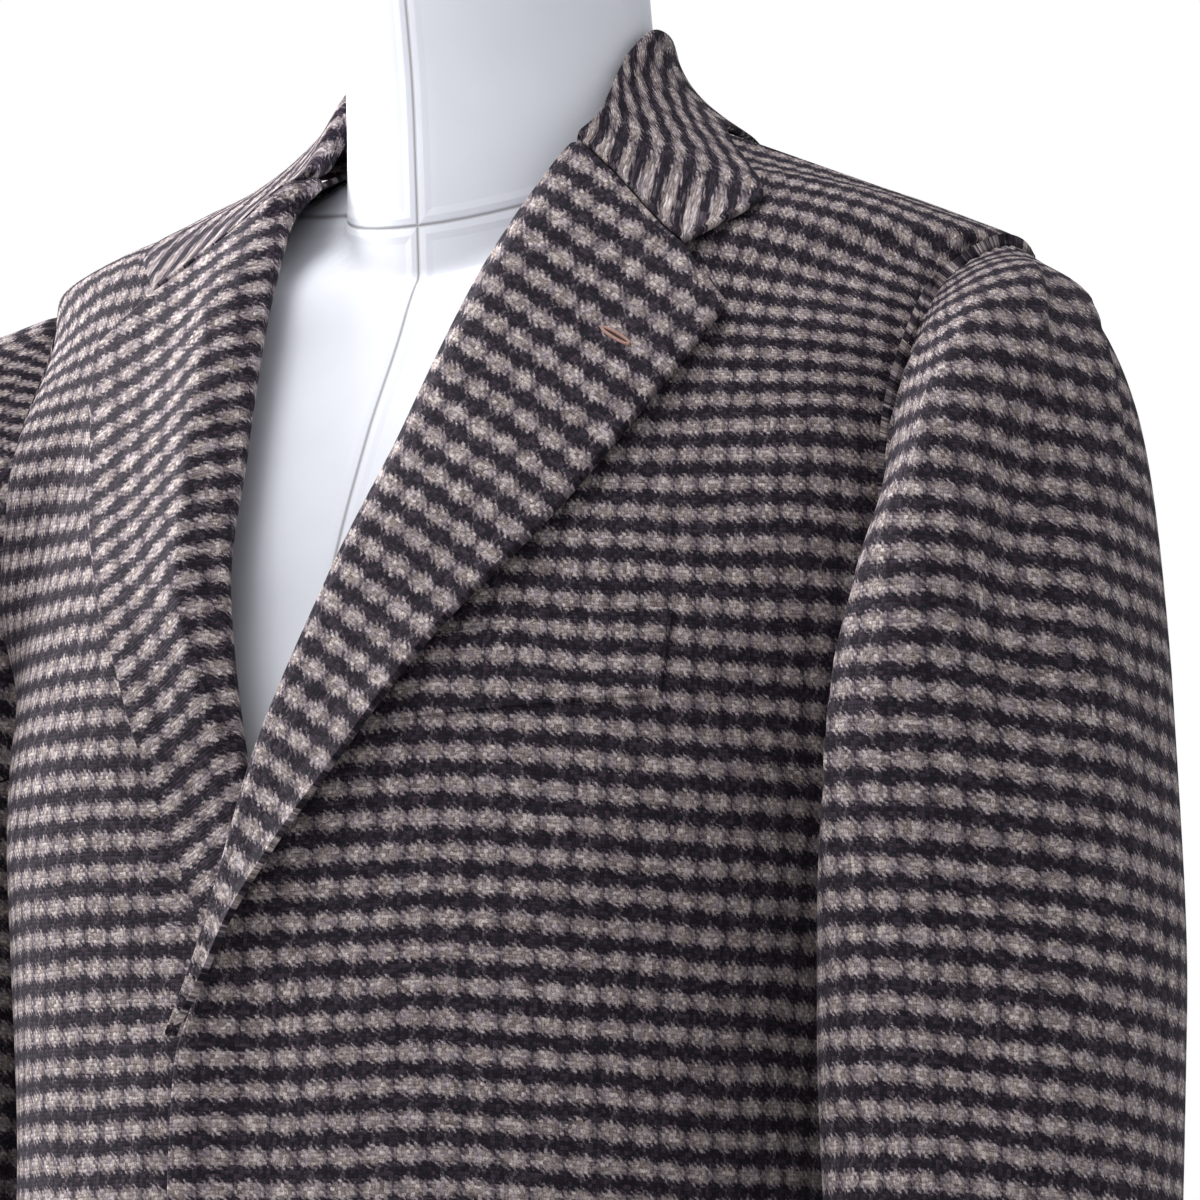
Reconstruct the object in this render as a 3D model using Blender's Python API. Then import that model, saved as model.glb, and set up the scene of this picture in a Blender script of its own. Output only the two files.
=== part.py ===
"""An overcoat with notched lapels, worn by a limbless dress form on a round foot.

Units are metres. +Z is up and the floor is Z = 0. The coat faces -Y, and its wearer's left is +X.

Each piece of cloth is a thin closed wall: a grid of points on its outer face, worked out from the sizes and
tables below, the same points moved in by the cloth's thickness, and a rim that joins the two grids.
"""
from collections import namedtuple

import bmesh
import bpy
import numpy as np
from mathutils import Vector

# ---- Driving sizes -------------------------------------------------------------------------------
CLOTH = 0.0025            # the coating cloth
DOUBLE_CLOTH = 0.0040     # lapel and collar: cloth, canvas and facing
SEAM_GAP = 0.0003         # between two pieces where a seam joins them
LAYER_GAP = 0.0004        # between a piece and what it lies on
HEM_HEIGHT = 0.450        # of the coat's lower edge above the floor
ARMHOLE_BOTTOM = 1.240    # height of the underarm point
SHOULDER_TIP = 1.450      # height of the shoulder seam's outer end
NECK_POINT = 1.509        # height of the shoulder seam's inner end
OVERLAP = 0.024           # each front reaches this far past the centre
ROLL_END = 1.146          # height where the lapels' roll runs into the front edges
BACK_NECK = 1.506         # height of the back's upper edge at the centre

# ---- The coat's body: its outer face, one row for each level section -----------------------------
# A section is a superellipse: half_width to the side, front and back from the side seam's Y. Above the
# shoulder tip, half_width is the distance out to the shoulder's ridge.
Section = namedtuple("Section", "height half_width side_y front back square")
COAT = (
    Section(HEM_HEIGHT, 0.240, 0.004, 0.186, 0.165, 2.30),
    Section(0.700, 0.226, 0.002, 0.183, 0.158, 2.30),
    Section(0.900, 0.203, 0.000, 0.178, 0.148, 2.35),
    Section(1.090, 0.179, -0.002, 0.171, 0.136, 2.40),
    Section(1.240, 0.196, -0.002, 0.158, 0.142, 2.40),
    Section(1.320, 0.203, 0.000, 0.137, 0.140, 2.30),
    Section(1.380, 0.211, 0.004, 0.112, 0.128, 2.20),
    Section(1.420, 0.219, 0.008, 0.092, 0.112, 2.20),
    Section(1.450, 0.224, 0.010, 0.075, 0.094, 2.20),
    Section(1.475, 0.163, 0.011, 0.060, 0.080, 2.20),
    Section(1.500, 0.102, 0.011, 0.046, 0.066, 2.20),
    Section(1.509, 0.080, 0.011, 0.041, 0.061, 2.20),
)

# ---- Front edge, roll line and lapel, as seen from the front -------------------------------------
Place = namedtuple("Place", "height from_centre")
ROLL_LINE = (Place(ROLL_END, -OVERLAP), Place(1.242, 0.001), Place(1.282, 0.012), Place(1.343, 0.028),
             Place(1.410, 0.043), Place(1.453, 0.053), Place(1.488, 0.063))
LEFT_LAPEL_EDGE = (Place(1.150, -0.022), Place(1.163, -0.015), Place(1.190, 0.001), Place(1.220, 0.022),
                   Place(1.252, 0.047), Place(1.296, 0.075), Place(1.338, 0.106), Place(1.382, 0.130),
                   Place(1.418, 0.148))
RIGHT_LAPEL_EDGE = (Place(1.140, -0.020), Place(1.163, 0.004), Place(1.182, 0.018), Place(1.204, 0.031),
                    Place(1.228, 0.045), Place(1.258, 0.059), Place(1.298, 0.080), Place(1.352, 0.115),
                    Place(1.418, 0.148))
GORGE_NOTCH = Place(1.443, 0.125)

RIGHT_RISE = 0.013        # the right shoulder sits this much higher than the left
RISE_ACROSS = (0.085, 0.175)
RISE_HEIGHTS = (1.300, 1.430)

ROLL_LIFT = 0.007         # the fronts stand this far forward at the roll line, high on the chest
ROLL_LIFT_REACH = 0.060
ROLL_LIFT_LOW = (1.360, 1.440)
ROLL_LIFT_HIGH = (1.480, 1.506)
EDGE_RIDGE = 0.004        # the left front's edge turns forward just below the roll
EDGE_RIDGE_REACH = 0.030
EDGE_TROUGH = 0.0015      # and a shallow trough lies beside it
EDGE_TROUGH_NEAR = (0.005, 0.030)
EDGE_TROUGH_FAR = (0.040, 0.080)
EDGE_HEIGHTS = (1.062, 1.100)   # the turn fades in between these, over the first button
EDGE_FADE = (ROLL_END - 0.020, ROLL_END + 0.050)
CROSS_HEIGHTS = (1.02, 1.12)    # the two lapels cross above these, and the right front lies deeper
CROSS_TOP = (1.245, 1.330)      # above these the two fronts lie apart
CROSS_INNER = 0.030       # the right front is fully under the left one nearer the centre than this
CROSS_REACH = 0.045       # and out to here it slopes down to that depth
CROSS_MORE = 0.075        # or this much farther out where the lapels cross

# How far a lapel's outer face stands off the front's outer face, across it from the roll line to its edge.
# The right lapel's roll is full: between two heights it stands up in a soft ridge, by the last column.
Stand = namedtuple("Stand", "across stand ridge")
LAPEL_STAND = (Stand(0.00, 0.0050, 0.0), Stand(0.07, 0.0080, 0.0030), Stand(0.19, 0.0085, 0.0080),
               Stand(0.34, 0.0085, 0.0050), Stand(0.52, 0.0080, 0.0010), Stand(0.70, 0.0075, 0.0),
               Stand(1.00, 0.0075, 0.0))
NOTCH_ACROSS = 0.70       # the notch's place across the lapel's upper edge
RIDGE_LOW = (1.245, 1.330)
RIDGE_HIGH = (1.420, 1.480)
LAPEL_FOOT = 0.006        # the outer edge starts this far above the roll line's foot
LAPEL_ROWS = 15
PRESS_HEIGHTS = (1.225, 1.275)  # below these the right lapel is pressed flat under the left one
PRESS_THIN = 0.0005       # and this much thinner

# ---- Collar: one row for each section, from the gorge seam to the centre back --------------------
# The fold is the collar's upper edge round the neck, and the edge is the lower edge of its fall. Stand is how
# far the stand reaches down inside the fold, and hollow is how far the fall curves in between fold and edge.
CollarSection = namedtuple("CollarSection", "place fold_x fold_y fold_z edge_x edge_y edge_z stand hollow")
COLLAR = (
    CollarSection(0, 0.0645, -0.0440, 1.498, 0.125, -0.059, 1.445, 0.004, 0.000),
    CollarSection(1, 0.0675, -0.0330, 1.508, 0.146, -0.041, 1.464, 0.010, 0.000),
    CollarSection(2, 0.0705, -0.0120, 1.530, 0.116, -0.012, 1.489, 0.016, 0.004),
    CollarSection(3, 0.0700, 0.0080, 1.540, 0.096, 0.012, 1.494, 0.021, 0.007),
    CollarSection(4, 0.0620, 0.0330, 1.538, 0.083, 0.042, 1.487, 0.020, 0.006),
    CollarSection(5, 0.0420, 0.0540, 1.535, 0.058, 0.072, 1.478, 0.017, 0.003),
    CollarSection(6, 0.0000, 0.0650, 1.533, 0.000, 0.085, 1.472, 0.016, 0.001),
)
COLLAR_PLACES = (0, 1, 1.5, 2, 2.4, 2.8, 3.2, 3.6, 4, 4.5, 5, 5.5, 6)

COLLAR_TURN = DOUBLE_CLOTH + 0.0012   # from the fold's crest in to the stand, and out to the fall
COLLAR_CLEAR = 0.0010     # more room under the fall's flat facets
COLLAR_FALL = (0.12, 0.34, 0.56, 0.78, 1.0)   # places down the fall
COLLAR_GORGE = 0.03       # across the lapel's upper edge, where the collar's fall starts
NECK_MIDDLE = 0.010       # Y of the point that the collar goes round
FOLD_FALL = 0.006         # depth below the fold where the fall starts, and the stand's turn ends
FOLD_SHARE = 0.6          # or this part of a low stand
CREST_IN = 0.7            # the fold's rounded crest: how far in and out, in turns, and how far down
CREST_IN_DROP = 0.0012
CREST_OUT = 0.8
CREST_OUT_DROP = 0.0022

# ---- Sleeve: one row for each ring, from the armhole down ----------------------------------------
# A ring lies between its outer and inner points and reaches fore and aft of the line that joins them.
SleeveRing = namedtuple("SleeveRing", "along outer_x outer_z inner_x inner_z middle_y fore aft square")
SLEEVE = (
    SleeveRing(0.00, 0.224, 1.450, 0.1965, 1.240, 0.003, 0.048, 0.062, 2.0),
    SleeveRing(0.04, 0.241, 1.442, 0.2010, 1.236, -0.008, 0.067, 0.066, 2.1),
    SleeveRing(0.09, 0.258, 1.421, 0.2020, 1.228, -0.022, 0.083, 0.074, 2.2),
    SleeveRing(0.15, 0.275, 1.386, 0.2020, 1.217, -0.031, 0.091, 0.080, 2.2),
    SleeveRing(0.22, 0.288, 1.330, 0.2010, 1.202, -0.040, 0.090, 0.083, 2.2),
    SleeveRing(0.32, 0.300, 1.250, 0.1980, 1.180, -0.047, 0.083, 0.084, 2.2),
    SleeveRing(0.45, 0.307, 1.160, 0.1970, 1.145, -0.049, 0.080, 0.082, 2.2),
    SleeveRing(0.65, 0.311, 1.020, 0.2060, 1.020, -0.055, 0.074, 0.074, 2.2),
    SleeveRing(0.82, 0.314, 0.920, 0.2180, 0.922, -0.062, 0.067, 0.065, 2.2),
    SleeveRing(1.00, 0.316, 0.815, 0.2270, 0.822, -0.070, 0.058, 0.056, 2.2),
)
SLEEVE_HOLD = 0.10        # the armhole's shape fades into the rings over this part of the sleeve
FRONT_SEAM = 9            # sleeve columns, counted from the shoulder tip towards the front
HIND_SEAM = 21
SLEEVE_ROWS = (0, 0.02, 0.045, 0.075, 0.11, 0.15, 0.20, 0.26, 0.34, 0.44, 0.56, 0.70, 0.85, 1)

# ---- Grids ---------------------------------------------------------------------------------------
FRONT_COLUMNS = (0, 0.04, 0.10, 0.18, 0.28, 0.40, 0.52, 0.64, 0.77, 0.89, 1)
BACK_COLUMNS = (0, 0.12, 0.25, 0.38, 0.50, 0.62, 0.75, 0.88, 1)
NECK_COLUMNS = 3          # of the back's columns end at the neckline, and the rest at the shoulder seam
SKIRT_HEIGHTS = (HEM_HEIGHT, 0.560, 0.680, 0.800, 0.910, 1.000, 1.080, 1.146, 1.195, 1.240)
ARMHOLE_STEPS = 12        # from the underarm to the shoulder tip, on the front and on the back
ARMHOLE_ROUND = 0.9       # under 1 for an armhole that is fuller than an ellipse
ROLL_SHARE = 0.97         # the roll line meets the neck point this far up the armhole's rows

# ---- Chest welt, on the wearer's left front ------------------------------------------------------
WELT_INNER = Place(1.2948, 0.062)  # its mouth's two ends
WELT_OUTER = Place(1.304, 0.150)
WELT_DEPTH_INNER = 0.030
WELT_DEPTH_OUTER = 0.033
WELT_THICK = 0.0016
WELT_COLUMNS = 7
WELT_ROWS = 3

# ---- Buttons -------------------------------------------------------------------------------------
BUTTON_HEIGHTS = (1.045, 0.925, 0.805)
BUTTON_RADIUS = 0.0115
BUTTON_THICK = 0.0038

# ---- Dress form ----------------------------------------------------------------------------------
FORM = (
    Section(0.800, 0.152, 0.000, 0.118, 0.112, 2.25),
    Section(0.830, 0.165, 0.000, 0.128, 0.122, 2.25),
    Section(0.930, 0.168, 0.000, 0.132, 0.122, 2.25),
    Section(1.090, 0.148, 0.000, 0.124, 0.100, 2.25),
    Section(1.240, 0.166, 0.000, 0.130, 0.112, 2.25),
    Section(1.320, 0.180, 0.002, 0.116, 0.120, 2.20),
    Section(1.380, 0.192, 0.005, 0.096, 0.116, 2.20),
    Section(1.420, 0.200, 0.009, 0.080, 0.102, 2.20),
    Section(1.443, 0.212, 0.010, 0.070, 0.088, 2.20),
    Section(1.4705, 0.162, 0.012, 0.047, 0.067, 2.05),
    Section(1.4945, 0.102, 0.012, 0.034, 0.054, 2.00),
    Section(1.5043, 0.077, 0.012, 0.026, 0.049, 2.00),
    Section(1.5140, 0.056, 0.011, 0.026, 0.046, 2.00),
)
FORM_NECK = (
    Section(1.420, 0.072, 0.011, 0.068, 0.058, 2.00),
    Section(1.480, 0.066, 0.004, 0.064, 0.056, 2.00),
    Section(1.530, 0.0625, -0.003, 0.061, 0.055, 2.00),
    Section(1.580, 0.061, -0.010, 0.061, 0.058, 2.00),
    Section(1.630, 0.061, -0.014, 0.061, 0.060, 2.00),
)
FORM_HEIGHTS = (0.800, 0.812, 0.830, 0.870, 0.930, 1.010, 1.090, 1.165, 1.240, 1.290, 1.335, 1.370, 1.400,
                1.420, 1.434, 1.443, 1.450, 1.457, 1.464, 1.471, 1.479, 1.487, 1.496, 1.503, 1.510, 1.519,
                1.530, 1.552, 1.580, 1.605, 1.630)
FORM_SIDES = 40
FORM_AXIS_Y = 0.006
CAP_RADIUS = 0.0585
CAP_HEIGHT = 0.012
POLE_RADIUS = 0.016
BASE_RADIUS = 0.200
BASE_HEIGHT = 0.026
BASE_EDGE = 0.007
BASE_DOME = 0.002         # the foot's upper face rises this much to its socket
SOCKET_RADIUS = 0.030
SOCKET_HEIGHT = 0.060
SOCKET_FLARE = 0.006
SOCKET_FILLET = 0.010
SOCKET_TAPER = 0.004
CAP_SWELL = 0.002         # the neck cap's rim
CAP_EDGE = 0.003
CAP_TOP_EDGE = 0.004
RAY_END = 0.4             # farther out than any part of the form
RAY_HALVINGS = 40

# ---- Colours: base colour, roughness, metallic ---------------------------------------------------
WOOL = ((0.090, 0.074, 0.074), 0.95, 0.0)
CANVAS = ((0.800, 0.780, 0.740), 0.85, 0.0)
HORN = ((0.040, 0.025, 0.018), 0.40, 0.0)
STEEL = ((0.550, 0.550, 0.560), 0.30, 1.0)
IRON = ((0.030, 0.030, 0.032), 0.45, 0.6)


# ---- Smooth tables -------------------------------------------------------------------------------
def read(table, name, at):
    """The named column of a table at each place along its first column: smooth, and never past its rows."""
    at = np.asarray(at, float)
    keys = np.array([row[0] for row in table])
    values = np.array([getattr(row, name) for row in table])
    steps = np.diff(keys)
    slopes = np.diff(values) / steps
    product = slopes[:-1] * slopes[1:]
    total = np.where(product > 0, slopes[:-1] + slopes[1:], 1.0)
    inner = np.where(product > 0, 2 * product / total, 0.0)
    tangents = np.concatenate([slopes[:1], inner, slopes[-1:]])
    i = np.clip(np.searchsorted(keys, at) - 1, 0, len(steps) - 1)
    t = np.clip((at - keys[i]) / steps[i], 0, 1)
    rise = steps[i]
    return (values[i] * (2 * t**3 - 3 * t**2 + 1) + tangents[i] * rise * (t**3 - 2 * t**2 + t)
            + values[i + 1] * (3 * t**2 - 2 * t**3) + tangents[i + 1] * rise * (t**3 - t**2))


def ramp(start, end, at):
    """0 before start, 1 after end, and smooth between."""
    t = np.clip((np.asarray(at, float) - start) / (end - start), 0, 1)
    return t * t * (3 - 2 * t)


# ---- Faces made of level sections ----------------------------------------------------------------
def level(sections, points):
    """How far points lie outside a body made of sections: 0 on its face, and under 0 inside it."""
    x, y, z = points[..., 0], points[..., 1], points[..., 2]
    off = y - read(sections, "side_y", z)
    depth = np.where(off < 0, read(sections, "front", z), read(sections, "back", z))
    square = read(sections, "square", z)
    across = np.abs(x) / read(sections, "half_width", z)
    return (across**square + (np.abs(off) / depth)**square)**(1 / square) - 1


def slope_of(sections, points):
    """The gradient of level at points."""
    step = 0.0001
    parts = []
    for axis in np.eye(3) * step:
        parts.append((level(sections, points + axis) - level(sections, points - axis)) / (2 * step))
    return np.stack(parts, -1)


def settle(sections, points):
    """Points moved onto the sections' face, along its normal."""
    points = np.array(points, float)
    for _ in range(12):
        slope = slope_of(sections, points)
        size = (slope**2).sum(-1, keepdims=True)
        points = points - 0.8 * level(sections, points)[..., None] * slope / size
    return points


def outward(sections, points):
    slope = slope_of(sections, points)
    return slope / np.linalg.norm(slope, axis=-1, keepdims=True)


def kept_off(sections, points, clearance):
    """Points moved out, where they need it, to lie at least this far off the sections' face."""
    points = np.array(points, float)
    for _ in range(4):
        slope = slope_of(sections, points)
        size = np.linalg.norm(slope, axis=-1, keepdims=True)
        short = np.maximum(clearance - level(sections, points)[..., None] / size, 0)
        points = points + short * slope / size
    return points


def front_point(sections, x, z):
    """A point on the front of the sections' face, at x from the centre and height z."""
    x, z = np.broadcast_arrays(np.asarray(x, float), np.asarray(z, float))
    across = np.clip(np.abs(x) / read(sections, "half_width", z), 0, 1)
    square = read(sections, "square", z)
    reach = (1 - across**square)**(1 / square)
    y = read(sections, "side_y", z) - read(sections, "front", z) * reach
    return settle(sections, np.stack([x, y, z], -1))


def ring_point(sections, turn, z):
    """A point of a level section: turn is 0 at the front's centre, 1 at the side, 2 at the back's centre."""
    turn, z = np.broadcast_arrays(np.asarray(turn, float), np.asarray(z, float))
    angle = turn * np.pi / 2
    power = 2 / read(sections, "square", z)
    x = np.sign(np.sin(angle)) * np.abs(np.sin(angle))**power * read(sections, "half_width", z)
    forward = np.cos(angle) > 0
    depth = np.where(forward, -read(sections, "front", z), read(sections, "back", z))
    y = read(sections, "side_y", z) + depth * np.abs(np.cos(angle))**power
    return np.stack([x, y, z], -1)


# ---- Grids ---------------------------------------------------------------------------------------
def coons(bottom, top, left, right, across, up):
    """A grid between four curves: bottom and top run left to right, and left and right run up."""
    s = np.asarray(across)[None, :, None]
    t = np.asarray(up)[:, None, None]
    sides = (1 - s) * left[:, None] + s * right[:, None]
    ends = (1 - t) * bottom[None] + t * top[None]
    corners = ((1 - s) * (1 - t) * bottom[0] + s * (1 - t) * bottom[-1]
               + (1 - s) * t * top[0] + s * t * top[-1])
    return sides + ends - corners


def grid_normals(grid):
    """The unit normals of a grid of points, on the side where across x up points."""
    across = np.gradient(grid, axis=1)
    up = np.gradient(grid, axis=0)
    normal = np.cross(across, up)
    return normal / np.linalg.norm(normal, axis=-1, keepdims=True)


def mirrored(grid):
    """The same grid for the wearer's other side."""
    return grid[:, ::-1] * np.array([-1.0, 1.0, 1.0])


def new_object(name, points, faces, finish):
    """A closed mesh object with its faces pointing out and a plain material."""
    mesh = bpy.data.meshes.new(name)
    mesh.from_pydata([tuple(p) for p in points], [], faces)
    body = bmesh.new()
    body.from_mesh(mesh)
    bmesh.ops.recalc_face_normals(body, faces=body.faces)
    bmesh.ops.triangulate(body, faces=[f for f in body.faces if len(f.verts) == 4])
    body.to_mesh(mesh)
    body.free()
    mesh.shade_smooth()
    mesh.set_sharp_from_angle(angle=np.radians(40))
    mesh.materials.append(plain_material(name, *finish))
    item = bpy.data.objects.new(name, mesh)
    bpy.context.scene.collection.objects.link(item)
    return item


def plain_material(name, colour, roughness, metallic):
    material = bpy.data.materials.new(name)
    material.use_nodes = True
    shader = material.node_tree.nodes["Principled BSDF"]
    shader.inputs["Base Color"].default_value = (*colour, 1)
    shader.inputs["Roughness"].default_value = roughness
    shader.inputs["Metallic"].default_value = metallic
    return material


def wall(name, outer, inner):
    """A thin closed wall of cloth between an outer and an inner grid."""
    rows, columns = outer.shape[:2]
    points = np.concatenate([outer.reshape(-1, 3), inner.reshape(-1, 3)])
    points[:, 2] += RIGHT_RISE * ramp(*RISE_ACROSS, -points[:, 0]) * ramp(*RISE_HEIGHTS, points[:, 2])
    count = rows * columns
    faces = []

    def at(row, column, layer):
        return layer * count + row * columns + column

    for row in range(rows - 1):
        for column in range(columns - 1):
            faces.append([at(row, column, 0), at(row, column + 1, 0), at(row + 1, column + 1, 0),
                          at(row + 1, column, 0)])
            faces.append([at(row, column, 1), at(row + 1, column, 1), at(row + 1, column + 1, 1),
                          at(row, column + 1, 1)])
    for column in range(columns - 1):
        for row in (0, rows - 1):
            faces.append([at(row, column, 0), at(row, column, 1), at(row, column + 1, 1),
                          at(row, column + 1, 0)])
    for row in range(rows - 1):
        for column in (0, columns - 1):
            faces.append([at(row, column, 0), at(row + 1, column, 0), at(row + 1, column, 1),
                          at(row, column, 1)])
    return new_object(name, points, faces, WOOL)


# ---- The coat's seams ----------------------------------------------------------------------------
def armhole(side):
    """The armhole from the underarm to the shoulder tip, by the front (side -1) or by the back (side 1)."""
    turn = np.linspace(0, np.pi, ARMHOLE_STEPS + 1)
    middle = (SHOULDER_TIP + ARMHOLE_BOTTOM) / 2
    half = (SHOULDER_TIP - ARMHOLE_BOTTOM) / 2
    z = middle - half * np.cos(turn)
    ring = SLEEVE[0]
    reach = (ring.fore if side < 0 else ring.aft) * np.sin(turn)**ARMHOLE_ROUND
    off = side * reach
    depth = read(COAT, "front" if side < 0 else "back", z)
    square = read(COAT, "square", z)
    x = read(COAT, "half_width", z) * (1 - (reach / depth)**square)**(1 / square)
    return np.stack([x, read(COAT, "side_y", z) + off, z], -1)


def shoulder_seam(fractions):
    """Points of the left shoulder seam, from the neck point to the shoulder tip."""
    z = NECK_POINT + (SHOULDER_TIP - NECK_POINT) * np.asarray(fractions)
    return np.stack([read(COAT, "half_width", z), read(COAT, "side_y", z), z], -1)


def seam_shift(points, direction):
    """Points moved off a seam by half its gap, then back onto the coat's face."""
    return settle(COAT, points + np.asarray(direction) * SEAM_GAP / 2)


# ---- Fronts --------------------------------------------------------------------------------------
def roll_curve(heights):
    return front_point(COAT, read(ROLL_LINE, "from_centre", heights), heights)


def front_grid():
    """The wearer's left front without its lifts: the front edge and roll line first, the side seam last."""
    turns = np.asarray(FRONT_COLUMNS)
    rows = []
    for height in SKIRT_HEIGHTS:
        half = float(read(COAT, "half_width", height))
        power = float(read(COAT, "square", height)) / 2
        edge_at = -OVERLAP
        if height > ROLL_END:
            edge_at = float(read(ROLL_LINE, "from_centre", height))
        start = np.sign(edge_at) * np.arcsin((abs(edge_at) / half)**power) / (np.pi / 2)
        rows.append(ring_point(COAT, start + (1 - start) * turns, height))
    lower = np.stack(rows)
    turn = np.linspace(0, np.pi, ARMHOLE_STEPS + 1)
    up = (1 - np.cos(turn)) / 2
    right = armhole(-1)
    heights = SKIRT_HEIGHTS[-1] + (ROLL_LINE[-1].height - SKIRT_HEIGHTS[-1]) * np.minimum(up / ROLL_SHARE, 1)
    left = roll_curve(heights)
    top = shoulder_seam(turns)
    left[-1] = top[0]
    upper = settle(COAT, coons(lower[-1], top, left, right, turns, up))
    upper[:, 0] = left
    upper[:, -1] = right
    upper[-1] = top
    grid = np.concatenate([lower, upper[1:]])
    grid[:, -1] = seam_shift(grid[:, -1], (0, -1, 0))
    grid[-1] = seam_shift(grid[-1], (0, -1, 0))
    return grid


def roll_lift(grid):
    """Both fronts stand forward beside the roll line, high on the chest."""
    height = grid[..., 2]
    distance = np.abs(grid[..., 0]) - read(ROLL_LINE, "from_centre", height)
    band = ramp(*ROLL_LIFT_LOW, height) * (1 - ramp(*ROLL_LIFT_HIGH, height))
    return ROLL_LIFT * band * (1 - ramp(0.0, ROLL_LIFT_REACH, distance))


def left_lift(grid):
    """The left front's edge turns forward below the roll, with a shallow trough beside it."""
    distance = np.abs(grid[..., 0] + OVERLAP)
    below = ramp(*EDGE_HEIGHTS, grid[..., 2]) * (1 - ramp(*EDGE_FADE, grid[..., 2]))
    ridge = EDGE_RIDGE * (1 - ramp(0.0, EDGE_RIDGE_REACH, distance))
    trough = -EDGE_TROUGH * ramp(*EDGE_TROUGH_NEAR, distance) * (1 - ramp(*EDGE_TROUGH_FAR, distance))
    return below * (ridge + trough) + roll_lift(grid)


def right_lift(grid):
    """The right front lies under the left one, and under its own lapel where the two cross."""
    height = grid[..., 2]
    crossing = ramp(*CROSS_HEIGHTS, height)
    depth = CLOTH + EDGE_TROUGH + 2 * LAYER_GAP + crossing * (DOUBLE_CLOTH + LAYER_GAP)
    slope_end = CROSS_REACH + CROSS_MORE * crossing
    lower = 1 - ramp(*CROSS_TOP, height)
    return roll_lift(grid) - depth * lower * ramp(-slope_end, -CROSS_INNER, grid[..., 0])


def front_faces(side):
    """Outer and inner grids of the left front (side 1) or the right front (side -1)."""
    grid = front_grid()
    if side < 0:
        grid = mirrored(grid)
    normals = outward(COAT, grid)
    lift = left_lift(grid) if side > 0 else right_lift(grid)
    outer = grid + normals * lift[..., None]
    return outer, outer - normals * CLOTH


def build_fronts():
    for name, side in (("front_left", 1), ("front_right", -1)):
        outer, inner = front_faces(side)
        wall(name, outer, inner)


# ---- Backs ---------------------------------------------------------------------------------------
def back_grid():
    """The wearer's left back: the side seam first, the centre-back seam last."""
    turns = np.asarray(BACK_COLUMNS)
    rows = [ring_point(COAT, 1 + turns, height) for height in SKIRT_HEIGHTS]
    lower = np.stack(rows)
    turn = np.linspace(0, np.pi, ARMHOLE_STEPS + 1)
    up = (1 - np.cos(turn)) / 2
    left = armhole(1)
    heights = SKIRT_HEIGHTS[-1] + (BACK_NECK - SKIRT_HEIGHTS[-1]) * up
    right = ring_point(COAT, 2.0, heights)
    seam_columns = len(turns) - NECK_COLUMNS
    seam = shoulder_seam(np.linspace(1, 0, seam_columns))
    neck_turns = np.linspace(1, 2, NECK_COLUMNS + 1)[1:]
    neck_heights = np.linspace(NECK_POINT, BACK_NECK, NECK_COLUMNS + 1)[1:]
    neck = ring_point(COAT, neck_turns, neck_heights)
    top = np.concatenate([seam, neck])
    upper = settle(COAT, coons(lower[-1], top, left, right, turns, up))
    upper[:, 0] = left
    upper[:, -1] = right
    upper[-1] = top
    grid = np.concatenate([lower, upper[1:]])
    grid[:, 0] = seam_shift(grid[:, 0], (0, 1, 0))
    grid[-1, :seam_columns] = seam_shift(grid[-1, :seam_columns], (0, 1, 0))
    grid[:, -1, 0] = SEAM_GAP / 2
    return grid


def build_backs():
    left = back_grid()
    for name, grid in (("back_left", left), ("back_right", mirrored(left))):
        normals = outward(COAT, grid)
        wall(name, grid, grid - normals * CLOTH)


# ---- Lapels --------------------------------------------------------------------------------------
def lapel_plan(outline, rows):
    """Front-view places of a left lapel, (rows, columns, 2): roll line first, outer edge last."""
    across = np.array([row.across for row in LAPEL_STAND])
    up = np.linspace(0, 1, rows)
    foot = outline[0].height
    roll_z = foot + (ROLL_LINE[-1].height - foot) * up
    roll = np.stack([read(ROLL_LINE, "from_centre", roll_z), roll_z], -1)
    edge_z = foot + LAPEL_FOOT + (outline[-1].height - foot - LAPEL_FOOT) * up
    edge = np.stack([read(outline, "from_centre", edge_z), edge_z], -1)
    gorge = np.array([ROLL_LINE[-1].from_centre, ROLL_LINE[-1].height])
    notch = np.array([GORGE_NOTCH.from_centre, GORGE_NOTCH.height])
    tip = np.array([outline[-1].from_centre, outline[-1].height])
    top = gorge + (notch - gorge) * np.minimum(across / NOTCH_ACROSS, 1)[:, None]
    top += (tip - notch) * np.maximum(across / NOTCH_ACROSS - 1, 0)[:, None] / (1 / NOTCH_ACROSS - 1)
    bottom = roll[0] + (edge[0] - roll[0]) * across[:, None]
    return coons(bottom, top, roll, edge, across, up)


def lapel_faces(side):
    """Outer and inner grids of a lapel, made from the points of the front that it lies on, moved out."""
    plan = lapel_plan(LEFT_LAPEL_EDGE if side > 0 else RIGHT_LAPEL_EDGE, LAPEL_ROWS)
    base = front_point(COAT, plan[..., 0], plan[..., 1])
    if side < 0:
        base = mirrored(base)
    normals = outward(COAT, base)
    lift = left_lift(base) if side > 0 else right_lift(base)
    stand = np.array([row.stand for row in LAPEL_STAND]) + 0 * base[..., 2]
    if side < 0:
        rise = ramp(*RIDGE_LOW, base[..., 2]) * (1 - ramp(*RIDGE_HIGH, base[..., 2]))
        stand = stand[:, ::-1] + rise * np.array([row.ridge for row in LAPEL_STAND])[::-1]
    under = np.maximum(stand - DOUBLE_CLOTH, LAYER_GAP)
    if side < 0:
        squeeze = 1 - ramp(*PRESS_HEIGHTS, base[..., 2])
        stand = stand + (LAYER_GAP + DOUBLE_CLOTH - PRESS_THIN - stand) * squeeze
        under = under + (LAYER_GAP - under) * squeeze
    outer = base + normals * (lift + stand)[..., None]
    inner = base + normals * (lift + under)[..., None]
    return outer, inner


def build_lapels():
    for name, side in (("lapel_left", 1), ("lapel_right", -1)):
        outer, inner = lapel_faces(side)
        wall(name, outer, inner)


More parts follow.
